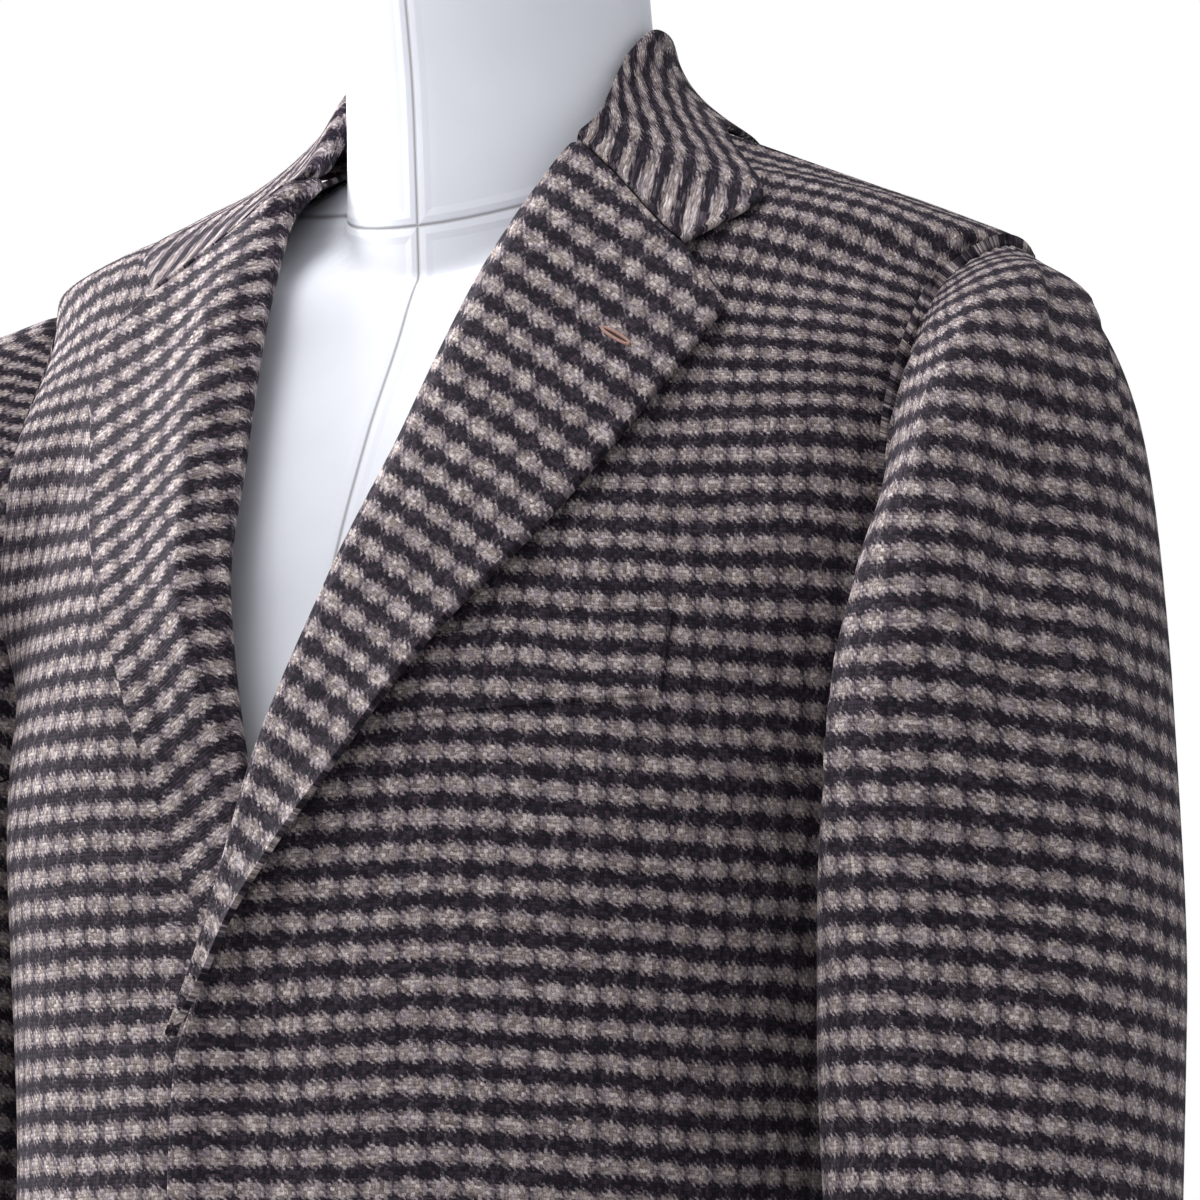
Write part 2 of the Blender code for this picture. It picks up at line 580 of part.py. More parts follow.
# ---- Collar --------------------------------------------------------------------------------------
def round_collar(names, flip):
    """Columns of the collar's table from the left gorge seam round the back to the right one."""
    rows = np.stack([read(COLLAR, name, COLLAR_PLACES) for name in names], -1)
    return np.concatenate([rows, rows[-2::-1] * flip])


def collar_section(top, edge, out, stand, hollow):
    """Points of a section: up the stand on the neck's side, over the fold and down the fall."""
    turn = COLLAR_TURN
    down = np.array([0.0, 0.0, -1.0])
    inside = top - out * turn
    path = [inside + down * stand, inside + down * min(FOLD_FALL, FOLD_SHARE * stand)]
    path += [top - out * turn * CREST_IN + down * CREST_IN_DROP, top]
    path += [top + out * turn * CREST_OUT + down * CREST_OUT_DROP]
    start = top + out * turn + down * FOLD_FALL
    for t in COLLAR_FALL:
        path.append(start + (edge - start) * t - out * hollow * np.sin(np.pi * t))
    return path


def gorge_seam(side):
    """The collar's end on a lapel: outer and inner points of its fall along the lapel's upper edge."""
    across = [row.across for row in LAPEL_STAND]
    wanted = np.concatenate([[COLLAR_GORGE], np.array(COLLAR_FALL) * NOTCH_ACROSS])
    ends = []
    for face in lapel_faces(side):
        face = face if side > 0 else face[:, ::-1]
        up = face[-1] - face[-2]
        up /= np.linalg.norm(up, axis=1, keepdims=True)
        edge = face[-1] + up * SEAM_GAP
        ends.append(np.stack([np.interp(wanted, across, edge[:, axis]) for axis in range(3)], -1))
    return ends


def collar_faces():
    """Outer and inner grids of the collar, from the stand's foot over the fold to the fall's edge."""
    flip = np.array([-1.0, 1.0, 1.0])
    fold = round_collar(("fold_x", "fold_y", "fold_z"), flip)
    edge = round_collar(("edge_x", "edge_y", "edge_z"), flip)
    stand = round_collar(("stand",), 1)[:, 0]
    hollow = round_collar(("hollow",), 1)[:, 0]
    edge = settle(COAT, edge)
    edge = edge + outward(COAT, edge) * (LAYER_GAP + DOUBLE_CLOTH)
    out = (fold - np.array([0.0, NECK_MIDDLE, 0.0])) * np.array([1.0, 1.0, 0.0])
    out /= np.linalg.norm(out, axis=1, keepdims=True)
    sections = [collar_section(*parts) for parts in zip(fold, edge, out, stand, hollow)]
    outer = np.array(sections).transpose(1, 0, 2)
    first = outer.shape[0] - len(COLLAR_FALL) - 1
    outer[first + 1:] = kept_off(COAT, outer[first + 1:], LAYER_GAP + DOUBLE_CLOTH + COLLAR_CLEAR)
    inner = outer + grid_normals(outer) * DOUBLE_CLOTH
    for column, side in ((0, 1), (-1, -1)):
        outer[first:, column], inner[first:, column] = gorge_seam(side)
    return outer, inner


def build_collar():
    outer, inner = collar_faces()
    wall("collar", outer, inner)


# ---- Sleeves -------------------------------------------------------------------------------------
def sleeve_tube():
    """The left sleeve's outer face, (rows, columns, 3): columns run from the shoulder tip by the front."""
    front = armhole(-1)[::-1]
    back = armhole(1)[1:-1]
    seam = np.concatenate([front, back])
    columns = len(seam)
    angle = np.arange(columns) / columns * 2 * np.pi
    shape = np.cos(angle), np.sin(angle)
    rows = []
    for along in SLEEVE_ROWS:
        value = {name: float(read(SLEEVE, name, along)) for name in SleeveRing._fields[1:]}
        power = 2 / value["square"]
        up = np.sign(shape[0]) * np.abs(shape[0])**power
        side = np.abs(shape[1])**power * np.where(shape[1] > 0, -value["fore"], value["aft"])
        outer = np.array([value["outer_x"], value["middle_y"], value["outer_z"]])
        inner = np.array([value["inner_x"], value["middle_y"], value["inner_z"]])
        ring = (outer + inner) / 2 + up[:, None] * (outer - inner) / 2
        ring[:, 1] += side
        hold = 1 - ramp(0.0, SLEEVE_HOLD, along)
        rows.append(hold * seam + (1 - hold) * ring)
    tube = np.stack(rows)
    tube[0] += outward(COAT, tube[0]) * SEAM_GAP
    return tube


def build_sleeves():
    tube = sleeve_tube()
    wrapped = np.concatenate([tube[:, -1:], tube, tube[:, :1]], axis=1)
    normals = grid_normals(wrapped)[:, 1:-1]
    columns = tube.shape[1]
    body = outward(COAT, tube[0])
    hole = tube[0].mean(axis=0) - tube[0]
    hole -= (hole * body).sum(-1, keepdims=True) * body
    hole /= np.linalg.norm(hole, axis=-1, keepdims=True)
    pieces = {"under_sleeve": np.arange(FRONT_SEAM, HIND_SEAM + 1),
              "top_sleeve": np.arange(HIND_SEAM, FRONT_SEAM + columns + 1)}
    for piece, index in pieces.items():
        index = index % columns
        outer = tube[:, index].copy()
        facing = normals[:, index]
        for end, inside in ((0, 1), (-1, -2)):
            way = outer[:, inside] - outer[:, end]
            way /= np.linalg.norm(way, axis=1, keepdims=True)
            outer[:, end] += way * SEAM_GAP / 2
        inner = outer - facing * CLOTH
        inner[0] = outer[0] + hole[index] * CLOTH
        wall(piece + "_left", outer, inner)
        wall(piece + "_right", mirrored(outer), mirrored(inner))


# ---- Chest welt and buttons ----------------------------------------------------------------------
def build_welt():
    across = np.linspace(0, 1, WELT_COLUMNS)
    down = np.linspace(0, 1, WELT_ROWS)
    mouth_x = WELT_INNER.from_centre + (WELT_OUTER.from_centre - WELT_INNER.from_centre) * across
    mouth_z = WELT_INNER.height + (WELT_OUTER.height - WELT_INNER.height) * across
    x = mouth_x[None] + 0 * down[:, None]
    depth = WELT_DEPTH_INNER + (WELT_DEPTH_OUTER - WELT_DEPTH_INNER) * across
    z = mouth_z[None] - depth[None] * down[::-1, None]
    base = front_point(COAT, x, z)
    normals = outward(COAT, base)
    lift = left_lift(base)[..., None]
    under = base + normals * (lift + 2 * LAYER_GAP)
    wall("chest_welt", under + normals * WELT_THICK, under)


def build_buttons():
    """Plain round buttons, lying on the left front at its centre line."""
    for number, height in enumerate(BUTTON_HEIGHTS, 1):
        base = front_point(COAT, 0.0, height)
        normal = outward(COAT, base)
        seat = base + normal * (left_lift(base) + LAYER_GAP)
        build_button("button_%d" % number, seat, normal)


def build_button(name, seat, normal):
    bpy.ops.mesh.primitive_cylinder_add(vertices=28, radius=BUTTON_RADIUS, depth=BUTTON_THICK)
    button = bpy.context.object
    button.name = name
    button.data.name = name
    body = bmesh.new()
    body.from_mesh(button.data)
    bmesh.ops.translate(body, verts=body.verts, vec=(0, 0, BUTTON_THICK / 2))
    body.to_mesh(button.data)
    body.free()
    button.data.materials.append(plain_material(name, *HORN))
    button.data.shade_smooth()
    button.data.set_sharp_from_angle(angle=np.radians(40))
    button.rotation_euler = Vector(normal).to_track_quat("Z", "Y").to_euler()
    button.location = tuple(seat)


# ---- Dress form ----------------------------------------------------------------------------------
def turned(name, profile, sides, finish):
    """A body turned round Z from (radius, height) steps, from the bottom up."""
    angles = np.arange(sides) / sides * 2 * np.pi
    points = []
    for radius, height in profile:
        points += [(radius * np.cos(a), radius * np.sin(a), height) for a in angles]
    return ringed(name, points, len(profile), sides, finish)


def ringed(name, points, rings, sides, finish):
    """A closed body over rings of points, with a flat lid at each end."""
    faces = [list(range(sides))[::-1], list(range((rings - 1) * sides, rings * sides))]
    for ring in range(rings - 1):
        for side in range(sides):
            low, high = ring * sides, (ring + 1) * sides
            after = (side + 1) % sides
            faces.append([low + side, low + after, high + after, high + side])
    return new_object(name, points, faces, finish)


def reach(sections, ways, height):
    """How far a level section reaches from the form's axis, each way of a list of directions."""
    near = np.zeros(len(ways))
    far = np.full(len(ways), RAY_END)
    for _ in range(RAY_HALVINGS):
        middle = (near + far) / 2
        points = np.array([0, FORM_AXIS_Y, height]) + ways * middle[:, None]
        inside = level(sections, points) < 0
        near = np.where(inside, middle, near)
        far = np.where(inside, far, middle)
    return near


def build_form():
    """The form's body and neck: each level ring goes round whichever of the two reaches farther."""
    angles = np.arange(FORM_SIDES) / FORM_SIDES * 2 * np.pi
    points = []
    for height in FORM_HEIGHTS:
        out = np.zeros(FORM_SIDES)
        flat = read(FORM, "half_width", height) / read(FORM, "front", height)
        ways = np.stack([np.sin(angles) * flat, -np.cos(angles), 0 * angles], -1)
        ways /= np.linalg.norm(ways, axis=1, keepdims=True)
        if height <= FORM[-1].height:
            out = np.maximum(out, reach(FORM, ways, height))
        if height >= FORM_NECK[0].height:
            out = np.maximum(out, reach(FORM_NECK, ways, height))
        points += [tuple(p) for p in np.array([0, FORM_AXIS_Y, height]) + ways * out[:, None]]
    ringed("form_torso", points, len(FORM_HEIGHTS), FORM_SIDES, CANVAS)


def build_stand():
    top = FORM_HEIGHTS[-1] + SEAM_GAP
    cap = turned("form_neck_cap", ((CAP_RADIUS, top), (CAP_RADIUS + CAP_SWELL, top + CAP_EDGE),
                                   (CAP_RADIUS, top + CAP_HEIGHT - CAP_EDGE),
                                   (CAP_RADIUS - CAP_TOP_EDGE, top + CAP_HEIGHT)), 32, IRON)
    cap.location.y = FORM_NECK[-1].side_y
    pole_foot = BASE_HEIGHT + SOCKET_HEIGHT + SEAM_GAP
    turned("form_pole", ((POLE_RADIUS, pole_foot), (POLE_RADIUS, FORM_HEIGHTS[0] - SEAM_GAP)), 24, STEEL)
    turned("form_base", ((BASE_RADIUS - BASE_EDGE, 0), (BASE_RADIUS, BASE_EDGE),
                         (BASE_RADIUS, BASE_HEIGHT - BASE_EDGE),
                         (BASE_RADIUS - BASE_EDGE, BASE_HEIGHT),
                         (SOCKET_RADIUS + SOCKET_FLARE, BASE_HEIGHT + BASE_DOME),
                         (SOCKET_RADIUS, BASE_HEIGHT + SOCKET_FILLET),
                         (SOCKET_RADIUS - SOCKET_TAPER, BASE_HEIGHT + SOCKET_HEIGHT)), 48, IRON)


def main():
    for item in list(bpy.data.objects):
        bpy.data.objects.remove(item)
    build_fronts()
    build_backs()
    build_lapels()
    build_collar()
    build_sleeves()
    build_welt()
    build_buttons()
    build_form()
    build_stand()


main()
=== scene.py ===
"""The looks of an overcoat in houndstooth wool on a canvas dress form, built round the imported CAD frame.

Every cloth piece is a fine thin shell on its solid's form: a grid of points worked out from the same sizes as
the solid, with creases, puckers and rolled edges added, and a flat map in metres that carries the weave.
Units are metres, +Z is up, the coat faces -Y, and its wearer's left is +X.
"""
from collections import namedtuple

import bpy
import numpy as np
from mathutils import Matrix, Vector


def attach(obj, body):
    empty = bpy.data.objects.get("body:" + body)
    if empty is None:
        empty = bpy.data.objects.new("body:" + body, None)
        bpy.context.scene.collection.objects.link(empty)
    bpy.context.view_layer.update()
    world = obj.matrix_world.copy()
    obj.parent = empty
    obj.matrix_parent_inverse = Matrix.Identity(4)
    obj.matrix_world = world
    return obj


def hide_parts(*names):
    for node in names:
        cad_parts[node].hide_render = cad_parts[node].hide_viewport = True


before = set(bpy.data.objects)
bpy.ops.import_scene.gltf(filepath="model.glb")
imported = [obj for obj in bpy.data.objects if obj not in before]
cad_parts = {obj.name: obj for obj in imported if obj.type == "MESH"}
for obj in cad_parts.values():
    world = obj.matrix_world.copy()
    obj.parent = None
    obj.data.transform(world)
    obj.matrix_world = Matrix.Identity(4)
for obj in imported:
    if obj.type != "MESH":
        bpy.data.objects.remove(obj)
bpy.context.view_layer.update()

# ---- Sizes shared with the solids ----
CLOTH = 0.0025
DOUBLE_CLOTH = 0.0040
SEAM_GAP = 0.0003
LAYER_GAP = 0.0004
HEM_HEIGHT = 0.450
ARMHOLE_BOTTOM = 1.240
SHOULDER_TIP = 1.450
NECK_POINT = 1.509
OVERLAP = 0.024
ROLL_END = 1.146
BACK_NECK = 1.506

Section = namedtuple("Section", "height half_width side_y front back square")
COAT = (
    Section(HEM_HEIGHT, 0.240, 0.004, 0.186, 0.165, 2.30),
    Section(0.700, 0.226, 0.002, 0.183, 0.158, 2.30),
    Section(0.900, 0.203, 0.000, 0.178, 0.148, 2.35),
    Section(1.090, 0.179, -0.002, 0.171, 0.136, 2.40),
    Section(1.240, 0.196, -0.002, 0.158, 0.142, 2.40),
    Section(1.320, 0.203, 0.000, 0.137, 0.140, 2.30),
    Section(1.380, 0.211, 0.004, 0.112, 0.128, 2.20),
    Section(1.420, 0.219, 0.008, 0.092, 0.112, 2.20),
    Section(1.450, 0.224, 0.010, 0.075, 0.094, 2.20),
    Section(1.475, 0.163, 0.011, 0.060, 0.080, 2.20),
    Section(1.500, 0.102, 0.011, 0.046, 0.066, 2.20),
    Section(1.509, 0.080, 0.011, 0.041, 0.061, 2.20),
)

Place = namedtuple("Place", "height from_centre")
ROLL_LINE = (Place(ROLL_END, -OVERLAP), Place(1.242, 0.001), Place(1.282, 0.012), Place(1.343, 0.028),
             Place(1.410, 0.043), Place(1.453, 0.053), Place(1.488, 0.063))
LEFT_LAPEL_EDGE = (Place(1.150, -0.022), Place(1.163, -0.015), Place(1.190, 0.001), Place(1.220, 0.022),
                   Place(1.252, 0.047), Place(1.296, 0.075), Place(1.338, 0.106), Place(1.382, 0.130),
                   Place(1.418, 0.148))
RIGHT_LAPEL_EDGE = (Place(1.140, -0.020), Place(1.163, 0.004), Place(1.182, 0.018), Place(1.204, 0.031),
                    Place(1.228, 0.045), Place(1.258, 0.059), Place(1.298, 0.080), Place(1.352, 0.115),
                    Place(1.418, 0.148))
GORGE_NOTCH = Place(1.443, 0.125)

RIGHT_RISE = 0.013
RISE_ACROSS = (0.085, 0.175)
RISE_HEIGHTS = (1.300, 1.430)

ROLL_SHARE = 0.97         # of the front's rows above the armhole's foot end by the top of the roll line
ROLL_LIFT = 0.007
ROLL_LIFT_REACH = 0.060
ROLL_LIFT_LOW = (1.360, 1.440)
ROLL_LIFT_HIGH = (1.480, 1.506)
EDGE_RIDGE = 0.006
EDGE_TROUGH = 0.0025
EDGE_RIDGE_REACH = 0.030
EDGE_TROUGH_NEAR = (0.005, 0.030)
EDGE_TROUGH_FAR = (0.040, 0.080)
EDGE_HEIGHTS = (1.062, 1.100)
EDGE_FADE = (ROLL_END - 0.02, ROLL_END + 0.05)
CROSS_START = 0.030       # the right front sinks under the left one from here, past the centre
CROSS_REACH = 0.045
CROSS_SPREAD = 0.075      # how much farther it sinks where the lapel lies under too
CROSS_LOW = (1.02, 1.12)
CROSS_HIGH = (1.245, 1.330)
WARP_LEAN = 40            # degrees, over the shoulder
WARP_LEAN_HEIGHTS = (1.40, 1.50)
ROLL_RADIUS = 0.0044      # the lapels' soft fold
ROLL_FOOT = 0.25          # of that radius is left at the lapel's foot
ROLL_TURN = 150           # degrees, from the lapel's face to behind the front's edge
ROLL_STEPS = 7
ROLL_TAPER = 0.12         # height over which the fold opens up from the lapel's foot
ROLL_SHIFT = 0.012        # the right roll lies farther out from the centre
ROLL_SHIFT_LOW = (1.160, 1.240)
ROLL_SHIFT_HIGH = (1.470, 1.488)

Stand = namedtuple("Stand", "across stand ridge")
LAPEL_STAND = (Stand(0.00, 0.0050, 0.0), Stand(0.07, 0.0080, 0.0016), Stand(0.15, 0.0085, 0.0036),
               Stand(0.21, 0.0085, 0.0052), Stand(0.26, 0.0085, 0.0048), Stand(0.38, 0.0085, 0.0030),
               Stand(0.54, 0.0080, 0.0012), Stand(0.72, 0.0075, 0.0), Stand(1.00, 0.0075, 0.0))
LAPEL_BLOOM = 0.0060      # the left lapel's edge stands off low on the chest
BLOOM_LOW = (1.155, 1.200)
BLOOM_HIGH = (1.250, 1.350)
PRESS_HEIGHTS = (1.225, 1.275)   # below, the right lapel is pressed flat under the left front
PRESS_SLACK = 0.0005
LAPEL_FOOT = 0.006
LAPEL_WARP_ROWS = (12, -8)       # the lapels' warp runs along their edge, between these rows
NOTCH_ACROSS = 0.70
RIDGE_LOW = (1.245, 1.330)
RIDGE_HIGH = (1.420, 1.480)

CollarSection = namedtuple("CollarSection", "place fold_x fold_y fold_z edge_x edge_y edge_z stand hollow")
COLLAR = (
    CollarSection(0, 0.0645, -0.0440, 1.498, 0.125, -0.059, 1.445, 0.004, 0.000),
    CollarSection(1, 0.0675, -0.0330, 1.508, 0.146, -0.041, 1.464, 0.010, 0.000),
    CollarSection(2, 0.0675, -0.0120, 1.535, 0.113, -0.012, 1.491, 0.016, 0.004),
    CollarSection(3, 0.0660, 0.0080, 1.546, 0.091, 0.012, 1.498, 0.021, 0.006),
    CollarSection(4, 0.0550, 0.0300, 1.546, 0.080, 0.042, 1.490, 0.022, 0.006),
    CollarSection(5, 0.0370, 0.0470, 1.543, 0.058, 0.070, 1.479, 0.020, 0.004),
    CollarSection(6, 0.0000, 0.0560, 1.541, 0.000, 0.081, 1.473, 0.019, 0.002),
)
FALL_CLOTH = 0.0028       # the collar's layers, pressed thin
COLLAR_TURN = FALL_CLOTH + 0.0006
COLLAR_CLEAR = 0.0006
FALL_CLEAR_HEIGHTS = (1.494, 1.508)
COLLAR_FALL = (0.12, 0.34, 0.56, 0.78, 1.0)
COLLAR_GORGE = 0.03       # across the lapel, where its seam with the collar starts
NECK_MIDDLE = (0.0, 0.010, 0.0)
FOLD_DROP = 0.006         # from the collar's fold down to where its stand and its fall start
FOLD_SHARE = 0.6          # or this much of a stand that is lower
FOLD_INNER = (0.7, 0.0012)       # out from the fold's line, in turns, and down
FOLD_OUTER = (0.8, 0.0022)
MAP_COLUMNS = 6           # the collar's rows are straight from this far inside its corners
MAP_ROWS = (-20, -12)

SleeveRing = namedtuple("SleeveRing", "along outer_x outer_z inner_x inner_z middle_y fore aft square")
SLEEVE = (
    SleeveRing(0.00, 0.224, 1.450, 0.1965, 1.240, 0.003, 0.048, 0.062, 2.0),
    SleeveRing(0.04, 0.242, 1.440, 0.2010, 1.236, -0.008, 0.067, 0.066, 2.1),
    SleeveRing(0.09, 0.262, 1.423, 0.2020, 1.228, -0.022, 0.083, 0.074, 2.2),
    SleeveRing(0.15, 0.280, 1.389, 0.2020, 1.217, -0.031, 0.091, 0.080, 2.2),
    SleeveRing(0.22, 0.293, 1.334, 0.2010, 1.202, -0.040, 0.090, 0.083, 2.2),
    SleeveRing(0.32, 0.304, 1.252, 0.1980, 1.180, -0.047, 0.083, 0.084, 2.2),
    SleeveRing(0.45, 0.309, 1.160, 0.1970, 1.145, -0.049, 0.080, 0.082, 2.2),
    SleeveRing(0.65, 0.309, 1.020, 0.2060, 1.020, -0.055, 0.074, 0.074, 2.2),
    SleeveRing(0.82, 0.311, 0.920, 0.2180, 0.922, -0.062, 0.067, 0.065, 2.2),
    SleeveRing(1.00, 0.313, 0.815, 0.2270, 0.822, -0.070, 0.058, 0.056, 2.2),
)
ARMHOLE_ROUND = 0.9
SLEEVE_HOLD = 0.10        # the sleeve turns from the armhole's shape to its own over this part of it
SLEEVE_EASE = 1.25        # its rings lie closer together at the top
SEAM_TURNS = (9, 21)      # the front and the hind seam, in 24ths of the way round
SLEEVE_MAP_ROW = 70
TIP_DROP = 0.004          # the shoulder tip's cloth settles a little
TIP_DROP_ACROSS = (0.165, 0.215)
TIP_DROP_HEIGHTS = (1.425, 1.447)
Fill = namedtuple("Fill", "forward reach low_start low_end high_start high_end")
SEAM_FILL = {             # the fronts and sleeves fill out beside the front armhole seam, on each side
    1: Fill(0.014, 0.075, 1.255, 1.310, 1.400, 1.447),
    -1: Fill(0.024, 0.060, 1.270, 1.335, 1.370, 1.440),
}
GROOVE = 0.0011           # the sewn-in line of the armhole seam
GROOVE_REACH = 0.0045
PUCKER = 0.0005           # gathered ease beside that line
PUCKER_REACH = (0.004, 0.022)

WELT_INNER = Place(1.2948, 0.062)
WELT_OUTER = Place(1.304, 0.150)
WELT_DEPTH_INNER = 0.030
WELT_DEPTH_OUTER = 0.033
WELT_THICK = 0.0012
WELT_COLUMNS = 60
WELT_ROWS = 24

BUTTON_HEIGHTS = (1.045, 0.925, 0.805)
BUTTON_THICK = 0.0038

FORM = (
    Section(0.800, 0.152, 0.000, 0.118, 0.112, 2.25),
    Section(0.830, 0.165, 0.000, 0.128, 0.122, 2.25),
    Section(0.930, 0.168, 0.000, 0.132, 0.122, 2.25),
    Section(1.090, 0.148, 0.000, 0.124, 0.100, 2.25),
    Section(1.240, 0.166, 0.000, 0.130, 0.112, 2.25),
    Section(1.320, 0.180, 0.002, 0.116, 0.120, 2.20),
    Section(1.380, 0.192, 0.005, 0.096, 0.116, 2.20),
    Section(1.420, 0.200, 0.009, 0.080, 0.102, 2.20),
    Section(1.443, 0.212, 0.010, 0.070, 0.088, 2.20),
    Section(1.4705, 0.162, 0.012, 0.047, 0.067, 2.05),
    Section(1.4945, 0.102, 0.012, 0.034, 0.054, 2.00),
    Section(1.5043, 0.077, 0.012, 0.026, 0.049, 2.00),
    Section(1.5140, 0.056, 0.011, 0.026, 0.046, 2.00),
)
FORM_NECK = (
    Section(1.420, 0.072, 0.011, 0.068, 0.058, 2.00),
    Section(1.480, 0.066, 0.004, 0.064, 0.056, 2.00),
    Section(1.530, 0.0625, -0.003, 0.061, 0.055, 2.00),
    Section(1.580, 0.061, -0.010, 0.061, 0.058, 2.00),
    Section(1.630, 0.061, -0.014, 0.061, 0.060, 2.00),
)
FORM_AXIS_Y = 0.006
NECK_SEAM_SLOPE = 0.45    # the seam round the neck's base rises to the back
NECK_SEAM_HEIGHT = 1.4925   # its height above the form's axis

# ---- How finely the shells are divided ----
PANEL_COLUMNS = 84
SKIRT_ROWS = 120
CHEST_ROWS = 96
LAPEL_ROWS = 110
LAPEL_COLUMNS = 40
COLLAR_STEP = 0.10
COLLAR_FINE = 5           # points between two of the collar's section points
SLEEVE_SIDE = 96          # columns on each half of a sleeve
SLEEVE_FINE = 210
RIM_STEPS = 3
RIM_SHARE = 0.45          # a rim is never rounder than this much of the cell beside it
SEAM_STEPS = 60
FORM_SIDES = 128
FORM_ROWS = (90, 110)     # below and above the shoulders
FORM_SHOULDER = 1.420
FORM_MAP_ROW = 40

# ---- Folds ----
# Each runs through three places: (from the centre, height) on the fronts and backs, and on a sleeve
# (around from the shoulder tip by the front, along). Lift is out of the cloth, under 0 for a trough. On the
# steep side the cloth drops by `drop` within a fraction `steep` of the width: it is 1 where both are alike.
Fold = namedtuple("Fold", "start middle end lift width steep drop", defaults=(1.0, 0.0))
FRONT_FOLDS = {
    1: (
        Fold((0.030, 1.225), (0.012, 1.170), (0.004, 1.090), -0.0022, 0.020),
        Fold((0.150, 1.215), (0.110, 1.190), (0.050, 1.150), 0.0016, 0.018),
        Fold((0.186, 1.290), (0.165, 1.262), (0.120, 1.236), -0.0016, 0.013),
        Fold((0.172, 1.392), (0.178, 1.350), (0.170, 1.300), 0.0018, 0.018),
        Fold((0.010, 1.052), (0.060, 1.075), (0.130, 1.105), -0.0016, 0.012),
        Fold((0.008, 1.040), (0.060, 1.026), (0.140, 1.030), 0.0018, 0.013),
        Fold((0.060, 0.940), (0.090, 0.760), (0.098, 0.452), 0.0032, 0.030),
        Fold((0.120, 0.900), (0.150, 0.720), (0.163, 0.452), -0.0030, 0.026),
    ),
    -1: (
        Fold((0.035, 1.180), (0.050, 1.120), (0.048, 1.060), 0.0020, 0.018),
        Fold((0.020, 1.050), (0.070, 1.070), (0.140, 1.112), -0.0018, 0.013),
        Fold((0.160, 1.250), (0.130, 1.215), (0.080, 1.195), 0.0015, 0.015),
        Fold((0.070, 0.960), (0.095, 0.740), (0.110, 0.452), -0.0030, 0.028),
        Fold((0.130, 0.880), (0.145, 0.700), (0.150, 0.452), 0.0034, 0.025),
    ),
}
BACK_FOLDS = {
    1: (
        Fold((0.020, 1.462), (0.070, 1.452), (0.120, 1.440), 0.0014, 0.012),
        Fold((0.170, 1.370), (0.140, 1.310), (0.125, 1.230), 0.0024, 0.017, 0.7, 0.0),
        Fold((0.160, 1.270), (0.120, 1.200), (0.060, 1.150), -0.0020, 0.016),
        Fold((0.150, 1.100), (0.090, 1.075), (0.030, 1.085), -0.0016, 0.013),
        Fold((0.070, 0.950), (0.092, 0.720), (0.105, 0.452), 0.0036, 0.030),
        Fold((0.020, 0.900), (0.030, 0.700), (0.040, 0.452), -0.0026, 0.024),
    ),
    -1: (
        Fold((0.015, 1.458), (0.060, 1.450), (0.110, 1.446), 0.0012, 0.013),
        Fold((0.165, 1.350), (0.145, 1.290), (0.118, 1.210), 0.0020, 0.020, 0.8, 0.0),
        Fold((0.170, 1.230), (0.110, 1.170), (0.050, 1.140), -0.0022, 0.014),
        Fold((0.140, 1.075), (0.085, 1.062), (0.040, 1.070), 0.0016, 0.012),
        Fold((0.060, 0.930), (0.075, 0.700), (0.070, 0.452), -0.0030, 0.027),
        Fold((0.140, 0.900), (0.150, 0.720), (0.155, 0.452), 0.0030, 0.026),
    ),
}
SLEEVE_FOLDS = {
    1: (
        Fold((0.007, 0.055), (0.028, 0.105), (0.046, 0.165), 0.0022, 0.010, 0.25, 0.0012),
        Fold((0.040, 0.140), (0.090, 0.245), (0.146, 0.380), -0.0080, 0.020),
        Fold((0.140, 0.330), (0.167, 0.450), (0.186, 0.640), -0.0075, 0.022),
        Fold((0.950, 0.070), (0.974, 0.135), (0.966, 0.250), 0.0030, 0.015, 0.16, 0.0028),
        Fold((0.060, 0.200), (0.020, 0.320), (0.000, 0.470), 0.0026, 0.020),
        Fold((0.200, 0.130), (0.175, 0.230), (0.190, 0.360), 0.0024, 0.015),
        Fold((0.360, 0.500), (0.280, 0.520), (0.210, 0.505), -0.0036, 0.012),
        Fold((0.350, 0.560), (0.270, 0.590), (0.190, 0.600), 0.0030, 0.012, 0.6, 0.0010),
        Fold((0.370, 0.640), (0.300, 0.650), (0.230, 0.680), -0.0028, 0.011),
        Fold((0.800, 0.480), (0.740, 0.540), (0.700, 0.620), 0.0026, 0.018),
        Fold((0.850, 0.250), (0.800, 0.330), (0.720, 0.380), -0.0030, 0.016),
        Fold((0.080, 0.720), (0.110, 0.820), (0.105, 0.930), -0.0020, 0.017),
    ),
    -1: (
        Fold((0.010, 0.060), (0.036, 0.110), (0.060, 0.180), 0.0016, 0.011, 0.4, 0.0006),
        Fold((0.070, 0.200), (0.110, 0.310), (0.160, 0.430), -0.0040, 0.017),
        Fold((0.940, 0.080), (0.965, 0.150), (0.960, 0.260), 0.0024, 0.016, 0.3, 0.0014),
        Fold((0.370, 0.470), (0.290, 0.500), (0.220, 0.515), -0.0034, 0.012),
        Fold((0.340, 0.560), (0.260, 0.575), (0.200, 0.610), 0.0030, 0.013, 0.7, 0.0008),
        Fold((0.380, 0.660), (0.310, 0.655), (0.240, 0.665), -0.0024, 0.010),
        Fold((0.780, 0.500), (0.730, 0.560), (0.680, 0.600), 0.0028, 0.017),
        Fold((0.860, 0.220), (0.810, 0.300), (0.740, 0.400), -0.0028, 0.018),
        Fold((0.020, 0.600), (0.050, 0.740), (0.060, 0.900), 0.0020, 0.020),
    ),
}
FOLD_STEPS = 60
FOLD_FADE = (0.30, 0.60)   # a fold comes up over the first part of its length, and fades after the second
FOLD_MARGIN = 3           # widths past which a fold moves nothing

